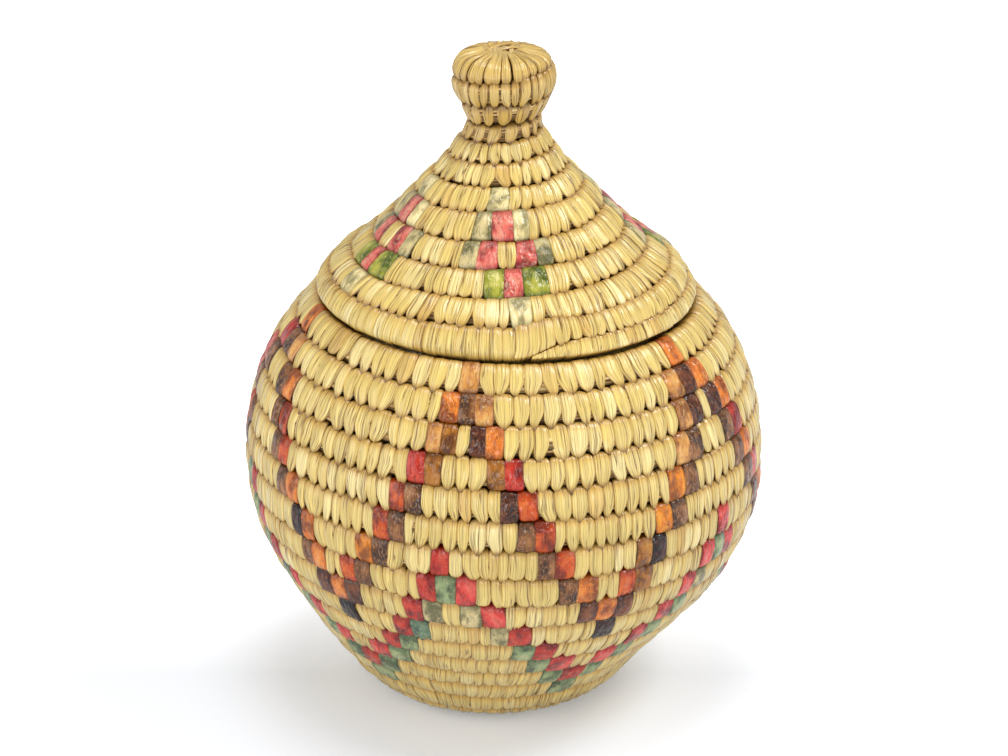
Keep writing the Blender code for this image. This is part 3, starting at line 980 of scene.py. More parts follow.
def quad_mesh(
    name: str,
    points: np.ndarray,
    quads: np.ndarray,
    face_slots: np.ndarray,
    materials: Sequence[bpy.types.Material],
    corner_map: np.ndarray,
    chance: np.ndarray,
    shade_and_browning: np.ndarray,
) -> bpy.types.Object:
    """Makes one object of many quads, smooth shaded.

    Args:
        name: the object's name.
        points: the points in space.
        quads: four point numbers for each quad.
        face_slots: each quad's material number.
        materials: the materials.
        corner_map: each point's place on the strip, in mm.
        chance: each point's own number from 0 to 1.
        shade_and_browning: how dark each point is painted: painted shade where it is tucked away and at the
        strip's edges, and browning.

    Returns:
        The object, linked to the scene.
    """
    mesh = bpy.data.meshes.new(name)
    mesh.vertices.add(len(points))
    mesh.vertices.foreach_set("co", points.astype(np.float32).ravel())
    mesh.loops.add(quads.size)
    mesh.loops.foreach_set("vertex_index", quads.astype(np.int32).ravel())
    mesh.polygons.add(len(quads))
    mesh.polygons.foreach_set("loop_start", np.arange(0, quads.size, 4, dtype=np.int32))
    mesh.update(calc_edges=True)
    mesh.polygons.foreach_set("material_index", face_slots.astype(np.int32))
    layer = mesh.uv_layers.new(name=STRIP_MAP)
    layer.data.foreach_set("uv", corner_map[quads.ravel()].astype(np.float32).ravel())
    for title, values in ((CHANCE, chance), (SHADE_AND_BROWNING, shade_and_browning)):
        mesh.attributes.new(title, "FLOAT", "POINT").data.foreach_set("value", values.astype(np.float32))
    mesh.validate()
    mesh.shade_smooth()
    for finish in materials:
        mesh.materials.append(finish)
    made = bpy.data.objects.new(name, mesh)
    bpy.context.scene.collection.objects.link(made)
    return made


@dataclass
class Sewing:
    """Sews a coil: turns its wraps into solid strips that go round the cord.

    shift moves the finished points, where a wall leans. start is the turns left at the first wrap. The loose
    strips are those that go round no cord, and the bundle is the grass inside the wraps.
    """

    coil: Coil
    wraps: Wraps
    finishes: Finishes
    seed: int
    shift: Callable[[np.ndarray], np.ndarray] = lambda points: points
    start: float = 0.009
    loose_crown: float = 0.00030
    loose_thickness: float = 0.0009
    bundle_sides: int = 20
    bundle_steps: int = 160
    bundle_squareness: float = 0.6

    def tips(self) -> np.ndarray:
        """Finds where each wrap's tip goes: the nearest gap between two wraps of the row below it.

        Returns:
            How far each tip is moved along the coil, in turns.
        """
        middle = (self.wraps.starts + self.wraps.ends) / 2
        half = (self.wraps.ends - self.wraps.starts) / 2
        below = middle + (1.0 if self.coil.rises else -1.0)
        cuts = np.append(self.wraps.starts, self.wraps.ends[-1])
        right = np.clip(np.searchsorted(cuts, below), 1, len(cuts) - 1)
        nearest = np.where(below - cuts[right - 1] < cuts[right] - below, cuts[right - 1], cuts[right])
        move = nearest - below
        inside = (below > 0.0) & (below < cuts[-1])
        return np.where(inside, np.clip(move, -0.7 * half, 0.7 * half), 0.0)

    def batch(self, first: float, last: float, style: WrapStyle) -> Batch:
        """Takes the wraps of one run.

        Args:
            first: turns left where the run begins, the lower number.
            last: turns left where it ends.
            style: how the strip is laid.

        Returns:
            The wraps.
        """
        middles = (self.wraps.starts + self.wraps.ends) / 2
        chosen = np.flatnonzero((middles >= max(first, self.start)) & (middles < last))
        dyes = [self.wraps.dyes[place] for place in chosen]
        plain = np.array([dye is Dye.NATURAL for dye in dyes])
        half = (self.wraps.ends - self.wraps.starts)[chosen] / 2
        lean = self.tips()[chosen] * style.lean * np.where(plain, 1.0, DYED_LEAN)
        rng = np.random.default_rng(self.seed + int(first * 100))
        return Batch(middles[chosen], half, lean, plain, dyes, rng)

    def way_round(self, batch: Batch, style: WrapStyle) -> tuple[np.ndarray, np.ndarray, np.ndarray]:
        """Gives each wrap its stations, a little longer or shorter than the others.

        Args:
            batch: the wraps.
            style: how the strip is laid.

        Returns:
            The height, the distance outward and the width at each station of each wrap.
        """
        sewn = np.array(style.top + FACE + style.foot + BACK)
        square = np.array(STRAIGHT_TOP + FACE + SQUARE_FOOT + BACK)
        way = np.where(batch.plain[:, None, None], sewn[None], square[None])
        up, out, width = way[..., 0], way[..., 1], way[..., 2]
        number = len(batch.middle)
        stretch = np.clip(batch.rng.normal(1.0, HAND.height, number), 0.92, 1.08)[:, None]
        foot = 1.0 + batch.rng.normal(0.0, HAND.foot, (number, 1))
        up = np.where(up < -0.9, -0.9 + (up + 0.9) * foot, up)
        up = np.where(up > 0.5, 0.5 + (up - 0.5) * stretch, up)
        return up, out, width

    def turns_left(self, batch: Batch, style: WrapStyle, up: np.ndarray, width: np.ndarray) -> np.ndarray:
        """Lays each wrap's points along the coil, with its tip leaning to the gap below.

        Args:
            batch: the wraps.
            style: how the strip is laid.
            up: the height at each station.
            width: the width at each station.

        Returns:
            The turns left at each point.
        """
        side = ACROSS[None, None, :]
        drop = smooth_step(-0.1 - np.array(style.top + FACE + style.foot + BACK)[:, 0])
        drop[-len(BACK) :] = np.linspace(1.0, 0.0, len(BACK))
        slant = batch.rng.normal(0.0, HAND.slant, len(batch.middle)) * batch.half
        left = (
            batch.middle[:, None, None]
            + side * (batch.half[:, None] * style.overlap * width)[:, :, None]
            + (batch.lean[:, None] * drop[None, :])[:, :, None]
            + slant[:, None, None] * up[:, :, None]
        )
        flare = np.where(batch.plain, HAND.flare, HAND.dyed_flare)
        flare = flare * batch.rng.normal(0.0, 1.0, len(batch.middle)) * batch.half
        left = left + side * flare[:, None, None] * np.clip(-up, -1.0, 1.0)[:, :, None]
        return np.clip(left, 0.0, self.coil.left[-1])

    def surface(
        self, batch: Batch, style: WrapStyle, left: np.ndarray, up: np.ndarray, out: np.ndarray
    ) -> np.ndarray:
        """Places each wrap's points in space, crowned, folded and twisted a little.

        Args:
            batch: the wraps.
            style: how the strip is laid.
            left: the turns left at each point.
            up: the height at each station.
            out: the distance outward at each station.

        Returns:
            The points in space.
        """
        side = ACROSS[None, None, :]
        number = len(batch.middle)
        bulge = np.where(batch.plain, style.bulge, style.bulge * DYED_BULGE)[:, None, None]
        crown = 1.0 - bulge * np.abs(side) ** 2.2 - style.edge_drop * np.abs(side) ** 9
        folds = batch.rng.normal(0.0, HAND.fold, (2, number, 1, len(ACROSS))) * (1.0 - np.abs(ACROSS) ** 4)
        share = ((up + 1.0) / 2)[:, :, None]
        on_face = np.where(out > 0.3, 1.0, 0.0)[:, :, None]
        proud = (folds[0] * share + folds[1] * (1.0 - share)) * on_face
        proud = proud + (batch.rng.normal(0.0, HAND.twist, number)[:, None, None] * side) * on_face
        proud = proud + np.where(batch.plain, 0.0, DYED_PROUD)[:, None, None] * on_face
        swell = np.clip(batch.rng.normal(1.0, HAND.size, number), 0.96, 1.04)[:, None, None]
        lies = np.clip((style.flush - np.mod(batch.middle, 1.0)) / 0.08, 0.0, 1.0)[:, None] * (out > 0.35)
        out = out + (1.0 - out) * 0.75 * lies
        row = self.coil.row(left, up[:, :, None] * (1.0 - 0.55 * (1.0 - crown)))
        return self.shift(self.coil.space(left, row, out[:, :, None] * crown * swell, proud))

    def strip_map(self, batch: Batch, style: WrapStyle, shape: tuple[int, ...]) -> np.ndarray:
        """Maps each wrap as the flat strip that it is, each from a place of its own.

        Args:
            batch: the wraps.
            style: how the strip is laid.
            shape: the shape of the wraps' points.

        Returns:
            Each point's place on the strip, in mm.
        """
        sewn = np.array(style.top + FACE + style.foot + BACK)
        wide = (batch.half * math.tau * self.coil.read(batch.middle, self.coil.radius) / MM)[:, None, None]
        steps = np.hypot(np.diff(sewn[:, 0]) * HALF_ROW_MM, np.diff(sewn[:, 1]) * CORD_DEPTH_MM)
        run = np.concatenate([[0.0], np.cumsum(steps)])[None, :, None]
        spot = batch.rng.uniform(0.0, WIDEST_SPOT_MM, (2, len(batch.middle), 1, 1))
        maps = (ACROSS[None, None, :] * wide + spot[0], run + spot[1])
        return np.stack([np.broadcast_to(each, shape) for each in maps], axis=-1)

    def piece(self, name: str, first: float, last: float, style: WrapStyle) -> bpy.types.Object:
        """Sews one run of the coil.

        Args:
            name: the object's name.
            first: turns left where the run begins, the lower number.
            last: turns left where it ends.
            style: how the strip is laid.

        Returns:
            One object of all its wraps.
        """
        batch = self.batch(first, last, style)
        up, out, width = self.way_round(batch, style)
        left = self.turns_left(batch, style, up, width)
        points = self.surface(batch, style, left, up, out)
        number, around, across = left.shape
        grid = np.arange(left.size).reshape(left.shape)
        after = np.roll(grid, -1, axis=1)
        quads = np.stack([grid[:, :, :-1], grid[:, :, 1:], after[:, :, 1:], after[:, :, :-1]], axis=-1)
        order = list(dict.fromkeys(batch.dyes))
        slots = np.repeat([order.index(dye) for dye in batch.dyes], around * (across - 1))
        strip = self.strip_map(batch, style, left.shape)
        # Painted shade, with browning from the style's worn: darker at the foot and the top, where the wrap is
        # tucked between two rows, and at its side edges, where it meets the next wrap.
        foot = smooth_step((-0.74 - up) / 0.58) * 0.92
        top = smooth_step((up - 0.28) / 0.85) * 0.62
        shade_and_browning = np.minimum(np.where(up > 0.0, top, foot) + style.worn, 1.0)[:, :, None]
        edge = smooth_step((np.abs(ACROSS) - EDGE_SHADE_FROM) / (1.0 - EDGE_SHADE_FROM)) * 0.95
        shade_and_browning = 1.0 - (1.0 - shade_and_browning) * (1.0 - edge)
        chance = batch.rng.uniform(0.0, 1.0, number)[:, None, None]
        return quad_mesh(
            name,
            points.reshape(-1, 3),
            quads.reshape(-1, 4),
            slots,
            [self.finishes.of(dye.value) for dye in order],
            strip.reshape(-1, 2),
            np.broadcast_to(chance, left.shape).ravel(),
            shade_and_browning.ravel(),
        )

    def ribbons(
        self, name: str, middles: np.ndarray, facing: np.ndarray, half: np.ndarray, worn: float = 0.0
    ) -> bpy.types.Object:
        """Lays loose strips along given paths.

        Args:
            name: the object's name.
            middles: the points of each path, strip by strip.
            facing: the direction that the strip faces at each point.
            half: half the strip's width at each point.
            worn: how browned the strips are.

        Returns:
            One object of all the strips.
        """
        rng = np.random.default_rng(self.seed + 5)
        number, count = half.shape
        along = np.gradient(middles, axis=1)
        across = np.cross(facing, along)
        across /= np.linalg.norm(across, axis=-1, keepdims=True)
        up = np.cross(along, across)
        up /= np.linalg.norm(up, axis=-1, keepdims=True)
        side = ACROSS[None, None, :, None]
        folds = rng.normal(0.0, HAND.loose_fold, (number, 1, len(ACROSS), 1)) * (1.0 - side**4)
        rise = self.loose_crown * (1.0 - 1.6 * np.abs(side) ** 3) + folds
        aside = across[:, :, None] * side * half[:, :, None, None]
        face = middles[:, :, None] + aside + up[:, :, None] * rise
        rear = face[:, :, ::-1] - up[:, :, None] * self.loose_thickness
        points = np.concatenate([face, rear], axis=2)
        ring = points.shape[2]
        grid = np.arange(number * count * ring).reshape(number, count, ring)
        after = np.roll(grid, -1, axis=2)
        quads = np.stack([grid[:, :-1], grid[:, 1:], after[:, 1:], after[:, :-1]], axis=-1)
        steps = np.linalg.norm(np.diff(middles, axis=1), axis=-1)
        run = np.concatenate([np.zeros((number, 1)), np.cumsum(steps, axis=1)], axis=1)
        spot = rng.uniform(0.0, WIDEST_SPOT_MM, (2, number, 1, 1))
        sides = np.concatenate([ACROSS, ACROSS[::-1]])
        width = sides[None, None, :] * half[:, :, None] / MM + spot[0]
        strip = np.stack([width, np.broadcast_to(run[:, :, None] / MM + spot[1], width.shape)], axis=-1)
        # Painted shade at the strips' ends, where they tuck under, and at their edges; worn adds browning.
        ends = np.abs(np.linspace(-1.0, 1.0, count))[None, :, None] ** 6 * 0.7
        edge = smooth_step((np.abs(sides) - EDGE_SHADE_FROM) / (1.0 - EDGE_SHADE_FROM))[None, None, :] * 0.9
        shade_and_browning = 1.0 - (1.0 - ends) * (1.0 - edge) * (1.0 - worn)
        chance = rng.uniform(0.0, 1.0, (number, 1, 1))
        return quad_mesh(
            name,
            points.reshape(-1, 3),
            quads.reshape(-1, 4),
            np.zeros(quads.size // 4),
            [self.finishes.of(PalmStrip())],
            strip.reshape(-1, 2),
            np.broadcast_to(chance, width.shape).ravel(),
            np.broadcast_to(shade_and_browning, width.shape).ravel(),
        )

    def bundle(self, name: str, first: float, last: float, share: float = 0.91) -> bpy.types.Object:
        """Lays the bundle of grass inside the wraps, as one ribbed tube.

        Args:
            name: the object's name.
            first: turns left where the run begins.
            last: turns left where it ends.
            share: the bundle's size, of the wraps round it.

        Returns:
            The tube.
        """
        steps = max(8, round((last - first) * self.bundle_steps))
        left = np.linspace(first, last, steps + 1)[:, None]
        turn = np.linspace(0.0, math.tau, self.bundle_sides, endpoint=False)[None, :]
        ribs = share * (1.0 + 0.02 * np.cos(5 * turn + left * 60.0))
        out, up = (
            np.sign(side) * np.abs(side) ** self.bundle_squareness * ribs
            for side in (np.cos(turn), np.sin(turn))
        )
        left = np.broadcast_to(left, out.shape)
        points = self.shift(self.coil.space(left, self.coil.row(left, up), out, np.zeros(out.shape)))
        grid = np.arange(out.size).reshape(out.shape)
        after = np.roll(grid, -1, axis=1)
        quads = np.stack([grid[:-1], grid[1:], after[1:], after[:-1]], axis=-1).reshape(-1, 4)
        along = self.coil.to_length(left) / MM
        strip = np.stack([np.broadcast_to(turn * HALF_ROW_MM, out.shape), along], axis=-1)
        # Painted shade: the grass is darker above and below, where the rows meet.
        seam = smooth_step((np.abs(up) / share - 0.78) / 0.22) * 0.8
        return quad_mesh(
            name,
            points.reshape(-1, 3),
            quads[:, ::-1],
            np.zeros(len(quads)),
            [self.finishes.of(DryGrass())],
            strip.reshape(-1, 2),
            np.zeros(out.size),
            seam.ravel(),
        )


def hand_over(piece: bpy.types.Object, body: str, slot: str, *nodes: str) -> None:
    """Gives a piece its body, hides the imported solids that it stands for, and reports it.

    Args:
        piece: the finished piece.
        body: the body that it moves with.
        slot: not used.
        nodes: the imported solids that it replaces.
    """
    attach(piece, body)
    if nodes:
        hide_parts(*nodes)
    LOG.info("%s: %d faces", piece.name, len(piece.data.polygons))


# The zigzags of the wall. Each line gives a row, counted down from the mouth, the azimuths of its wraps'
# edges in degrees and the dyes between them. The front is the pattern as it is seen there.
UPPER_FRONT: tuple[tuple[int, tuple[float, ...], str], ...] = (
    (1, (-11.5, -6.6), "p"),
    (1, (49.0, 54.5), "o"),
    (1, (-76.0, -71.0), "o"),
    (2, (-15.5, -10.9, -7.0, -2.6), "obp"),
    (2, (44.0, 49.0, 54.0, 59.3), "pdo"),
    (2, (-83.5, -77.0, -71.5, -66.5), "rbp"),
    (3, (-17.6, -14.1, -10.6), "pt"),
    (3, (-7.6, -4.1, -0.1), "do"),
    (3, (44.0, 48.4, 52.5), "pd"),
    (3, (55.5, 60.3, 65.0), "do"),
    (3, (-69.0, -64.4, -59.6), "bo"),
    (3, (-90.0, -84.0, -78.5), "hb"),
    (4, (-21.4, -17.4, -13.7), "rt"),
    (4, (-3.6, 0.1, 4.0), "tr"),
    (4, (41.0, 45.2, 49.2), "pb"),
    (4, (58.0, 62.4, 67.0), "br"),
    (4, (-65.4, -61.7, -57.6), "bv"),
    (4, (-92.0, -87.0, -82.0), "hb"),
    (5, (-24.8, -21.4, -17.7), "vb"),
    (5, (-0.6, 3.0, 7.0), "dv"),
    (5, (37.5, 42.0, 46.0), "ab"),
    (5, (60.7, 65.2, 70.0), "bo"),
    (5, (-62.0, -58.4, -54.6), "bv"),
    (6, (-28.3, -24.7, -21.1), "vb"),
    (6, (2.9, 6.5, 10.5), "bv"),
    (6, (33.5, 37.7, 42.0), "ab"),
    (6, (64.8, 69.7, 74.7), "bh"),
    (6, (-57.5, -53.9, -49.9), "bo"),
    (7, (-32.5, -28.6, -24.7), "ab"),
    (7, (7.1, 10.7, 14.7), "bv"),
    (7, (28.8, 32.6, 36.3), "tx"),
    (7, (70.0, 75.0, 80.0), "bo"),
    (7, (-51.6, -48.0, -44.4), "xo"),
    (8, (-49.0, -45.5, -41.5), "bo"),
    (8, (-37.0, -33.3, -29.5), "vb"),
    (8, (11.7, 15.6, 20.1), "bo"),
    (8, (25.0, 28.9, 33.0), "vt"),
    (8, (74.5, 79.5, 84.5), "bo"),
    (9, (-45.4, -41.1, -36.9, -32.8), "dod"),
    (9, (16.7, 20.8, 25.1, 29.3), "dod"),
    (10, (-41.2, -36.4), "x"),
    (10, (21.5, 26.3), "x"),
)
LOWER_FRONT: tuple[tuple[int, tuple[float, ...], str], ...] = (
    (7, (-15.1, -11.3), "r"),
    (8, (-18.4, -14.4, -10.0, -5.8), "rgk"),
    (9, (-22.3, -18.0, -13.5), "rs"),
    (9, (-9.3, -4.9, 0.3), "sk"),
    (10, (-26.0, -21.6, -17.2), "re"),
    (10, (-3.0, 1.0, 6.4), "sr"),
    (11, (-31.0, -26.2, -21.5), "rg"),
    (11, (2.3, 7.5, 13.0), "gr"),
    (12, (-37.2, -31.1, -25.0), "kg"),
    (12, (7.4, 13.4, 20.4), "gk"),
    (12, (26.5, 33.2, 38.5), "kg"),
    (13, (-50.5, -43.7, -37.0, -30.4), "grg"),
    (13, (13.8, 19.9, 27.0, 33.5), "grg"),
    (12, (-55.5, -50.0, -44.5), "gk"),
    (14, (-44.0, -34.5), "g"),
    (14, (19.8, 28.0), "g"),
    (11, (33.5, 38.5, 43.5), "kg"),
    (10, (39.0, 43.5, 48.0), "kg"),
    (9, (43.5, 47.8, 52.0), "ks"),
    (8, (48.0, 52.2, 56.4, 60.6), "kgk"),
    (7, (52.8, 56.8), "k"),
    (11, (-60.5, -56.0, -51.5), "gk"),
    (10, (-64.5, -60.3, -56.3), "gk"),
    (9, (-69.0, -65.0, -61.0), "gr"),
    (8, (-73.5, -69.5, -65.5), "gr"),
    (7, (-77.5, -73.5, -69.5), "gr"),
)
# One repeat of each zigzag, measured from its peak, for the sides and the back.
UPPER_PEAKS = (55.0, 113.5, 172.0, 230.5, 289.0)
UPPER_LEG: tuple[tuple[int, float, str], ...] = (
    (1, -2.4, "p"),
    (2, -6.8, "obp"),
    (3, -8.5, "pt"),
    (3, 1.5, "do"),
    (4, -12.7, "rt"),
    (4, 5.4, "tr"),
    (5, -15.9, "vb"),
    (5, 8.8, "dv"),
    (6, -19.4, "vb"),
    (6, 12.0, "bv"),
    (7, -23.6, "ab"),
    (7, 16.2, "bv"),
    (8, -27.9, "vb"),
    (8, 20.2, "bo"),
)
UPPER_FEET = ((9, (-6.0, -2.0, 2.0, 6.0), "dod"), (10, (-2.4, 2.4), "x"))
UPPER_REPEATS = (85.0, 283.0)  # the azimuths between which the legs repeat
LOWER_PEAKS = (57.0, 113.0, 168.5, 224.0, 280.0)
LOWER_LEG: tuple[tuple[int, float, str], ...] = (
    (7, -2.0, "r"),
    (8, -6.2, "kgr"),
    (9, -10.4, "rs"),
    (9, 2.4, "sk"),
    (10, -13.6, "re"),
    (10, 6.4, "gr"),
    (11, -18.4, "rg"),
    (11, 9.8, "gr"),
    (12, -24.0, "kg"),
    (12, 14.0, "gk"),
)
LOWER_FEET = ((13, (-9.8, -3.4, 3.4, 9.8), "grg"), (14, (-4.0, 4.0), "g"))
LOWER_REPEATS = (62.0, 278.0)
# The small trees of the lid. Each line gives a row, counted up from the rim, azimuths from the tree's middle,
# and the dyes between them.
TREE: tuple[tuple[int, tuple[float, ...], str], ...] = (
    (3, (-10.5, 3.6), "w"),
    (4, (-17.3, -7.0, 5.6, 14.4), "shw"),
    (5, (-20.3, -12.3, -3.2), "sh"),
    (5, (6.0, 15.5, 23.4), "hs"),
    (6, (-7.9, 0.2, 7.9, 17.9), "lhl"),
    (7, (1.8, 9.3), "w"),
)
TREE_AZIMUTHS = (0.0, -70.0, 104.0, 160.0, 226.0)


def in_front(azimuth: float, first: float, last: float) -> bool:
    """Says whether an azimuth lies between two others, in degrees."""
    return (azimuth - first) % 360.0 <= (last - first) % 360.0


# The widths of undyed wraps, by the turns left.
WALL_WIDTHS_MM = ((0.0, 4.6), (3.0, 4.5), (4.5, 3.9), (8.0, 3.7))
LID_WIDTHS_MM = (
    (0.0, 3.4),
    (7.0, 3.2),
    (8.4, 3.4),
    (8.6, 4.5),
    (10.4, 4.5),
    (10.6, 3.1),
    (11.4, 3.0),
    (11.6, 2.2),
)
COLLAR_WIDTHS_MM = ((0.0, 5.0),)


@dataclass
class BasketBody:
    """The base, wall and mouth: one cord of grass that climbs clockwise, seen from above.

    The outline's shares are of the belly's radius and the wall's height. strip is how far the strip's skin
    lies outside the cord. The base starts start_turns from its middle, and the foot's underside is cut flat by
    a share of the cord's radius. foot_lean is how far the foot stands to one side, below lean_height.
    """

    finishes: Finishes
    belly_radius: float = 0.0776
    wall_height: float = 0.1250
    outline_shares: tuple[tuple[float, float], ...] = (
        (0.452, 0.000),
        (0.540, 0.042),
        (0.610, 0.099),
        (0.750, 0.214),
        (0.883, 0.334),
        (0.977, 0.468),
        (1.000, 0.613),
        (0.965, 0.758),
        (0.872, 0.891),
        (0.727, 1.000),
        (0.705, 1.016),
    )
    cord_radius: float = 0.0043
    strip: float = 0.0009
    base_row: float = 0.0086
    wall_rows: int = 16
    foot_cut_share: float = 0.20
    end_angle: float = math.radians(180)
    sway_rows: float = 0.16
    start_turns: float = 0.55
    foot_lean: float = -0.0033
    lean_height: float = 0.045
    dyed_width: float = 0.0050
    dyed_spread: float = 0.93  # of a motif on the sides and the back, against the front
    wide_rows: tuple[int, ...] = (1, 2, 11, 12)
    wide_row_share: float = 1.12

    def coil(self) -> Coil:
        """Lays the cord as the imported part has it.

        Returns:
            The coil.
        """
        outline = smooth_outline(self.outline_shares, self.belly_radius, self.wall_height, 0.0)
        skin = Outline(outline, 1)
        rim_point = int(np.argmin(np.abs(outline[:, 1] - self.wall_height)))
        row_width = skin.lengths[rim_point] / self.wall_rows
        inset = self.cord_radius + self.strip
        base_height = self.cord_radius * (1.0 - self.foot_cut_share)
        point, facing = skin.at(np.array([0.5 * row_width]))
        first, first_facing = (point - facing * inset)[0], facing[0]
        rise = first[1] - base_height
        edge = first[0] - math.sqrt(self.base_row**2 - rise**2)
        turned = math.atan2(first_facing[1], first_facing[0])

        def place(row: np.ndarray) -> tuple[np.ndarray, np.ndarray, np.ndarray]:
            """Places the cord, flat in the base and turning up into the wall.

            Args:
                row: the rows, counted up from the first row of the wall.

            Returns:
                The cord's middle, its outward direction and its depth.
            """
            wall_point, wall_facing = skin.at(np.maximum(row, 0.5) * row_width)
            wall_point = wall_point - wall_facing * inset
            share = np.clip(row + 0.5, 0.0, 1.0)
            eased = smooth_step(share)
            turned_up = edge + (first[0] - edge) * share
            across = np.where(row <= -0.5, edge + self.base_row * (row + 0.5), turned_up)
            low_point = np.stack([across, base_height + rise * eased], axis=-1)
            lean = -math.pi / 2 + (turned + math.pi / 2) * eased
            low_facing = np.stack([np.cos(lean), np.sin(lean)], axis=-1)
            wall = (row >= 0.5)[..., None]
            depth = base_height + (inset - base_height) * smooth_step(row + 0.5)
            middle, facing = (
                np.where(wall, *pair) for pair in ((wall_point, low_point), (wall_facing, low_facing))
            )
            return middle, facing, depth

        def rim(angle: np.ndarray) -> np.ndarray:
            """Gives how far past the last row the mouth's edge lies."""
            return 0.5 - self.sway_rows * np.sin(angle)

        rows = self.wall_rows - 0.5
        turns = rows + 1.0 + edge / self.base_row - self.start_turns
        return Coil(rows, self.end_angle, 5, 0.12, rim, place, turns, True)

    def pattern(self) -> list[tuple[float, float, Dye]]:
        """Lists the dyed wraps of both zigzags.

        Returns:
            First and last turns left of each wrap, and its dye.
        """
        end = math.degrees(self.end_angle)
        made: list[tuple[float, float, Dye]] = []

        def add(row: int, middle: float, edges: Sequence[float], dyes: str) -> None:
            """Adds neighbouring wraps of one row.

            Args:
                row: the row, counted down from the mouth.
                middle: the azimuth of the motif's middle.
                edges: the wraps' edges, in degrees from there.
                dyes: the dye of each wrap.
            """
            start = ((middle - end) / 360.0) % 1.0 + row - 1
            for first, last, letter in zip(edges, edges[1:], dyes):
                made.append((start + first / 360.0, start + last / 360.0, LETTERS[letter]))

        for row, edges, dyes in UPPER_FRONT + LOWER_FRONT:
            add(row, 0.0, edges, dyes)
        plain_width = math.degrees(self.dyed_width / (self.belly_radius * 0.94))
        for peaks, leg, feet, limits in (
            (UPPER_PEAKS, UPPER_LEG, UPPER_FEET, UPPER_REPEATS),
            (LOWER_PEAKS, LOWER_LEG, LOWER_FEET, LOWER_REPEATS),
        ):
            for peak, following in zip(peaks, (*peaks[1:], None)):
                for row, offset, dyes in leg:
                    width = plain_width * (self.wide_row_share if row in self.wide_rows else 1.0)
                    start = offset * self.dyed_spread
                    ends = (peak + start, peak + start + width * len(dyes))
                    if all(in_front(azimuth, *limits) for azimuth in ends):
                        add(row, peak, [start + width * place for place in range(len(dyes) + 1)], dyes)
                if following is not None:
                    for row, edges, dyes in feet:
                        add(row, (peak + following) / 2, edges, dyes)
        return made

    def lean(self, points: np.ndarray) -> np.ndarray:
        """Moves the foot to one side, as it stands under this basket, with the wall above following it.

        Args:
            points: points of the wall.

        Returns:
            The same points, moved.
        """
        moved = points.copy()
        moved[..., 2] = np.maximum(moved[..., 2], 0.0)
        share = (self.lean_height - points[..., 2]) / (self.lean_height * 0.7)
        moved[..., 0] += self.foot_lean * smooth_step(share)
        return moved

    def build(self) -> None:
        """Builds and dresses the body."""
        coil = self.coil()
        wraps = lay_out(coil, self.pattern(), WALL_WIDTHS_MM, 5)
        sewing = Sewing(coil, wraps, self.finishes, 21, self.lean)
        last = coil.turns
        base_end = self.wall_rows - 1 / 6
        mouth = WrapStyle(top=STRAIGHT_TOP, flush=0.2)
        upper = WrapStyle()
        belly = WrapStyle(foot=SCALLOPED_FOOT, bulge=0.04)
        lower = WrapStyle(top=STRAIGHT_TOP, foot=SCALLOPED_FOOT, bulge=0.04)
        runs = (
            ("mouth_wraps", 0.0, 1.0, mouth, "mouth_coil"),
            ("shoulder_upper_wraps", 1.0, 3.5, upper, "shoulder_coil"),
            ("shoulder_lower_wraps", 3.5, 6.0, upper, "shoulder_coil"),
            ("belly_upper_wraps", 6.0, 8.5, belly, "belly_coil"),
            ("belly_lower_wraps", 8.5, 11.0, belly, "belly_coil"),
            ("foot_upper_wraps", 11.0, 13.0, lower, "foot_coil"),
            ("foot_lower_wraps", 13.0, base_end, lower, "foot_coil"),
            ("base_wraps", base_end, last, lower, "base_coil"),
        )
        for name, first, end, style, node in runs:
            hand_over(sewing.piece(name, first, end, style), "basket", SEWN_SLOT, node)
        hand_over(sewing.bundle("wall_grass", BUNDLE_START, last), "basket", GRASS_SLOT)
        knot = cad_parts["base_start_knot"]
        knot.data.materials.clear()
        knot.data.materials.append(self.finishes.of(DryGrass("dry_grass_knot", mapped=False)))
        LOG.info("base_start_knot dressed")


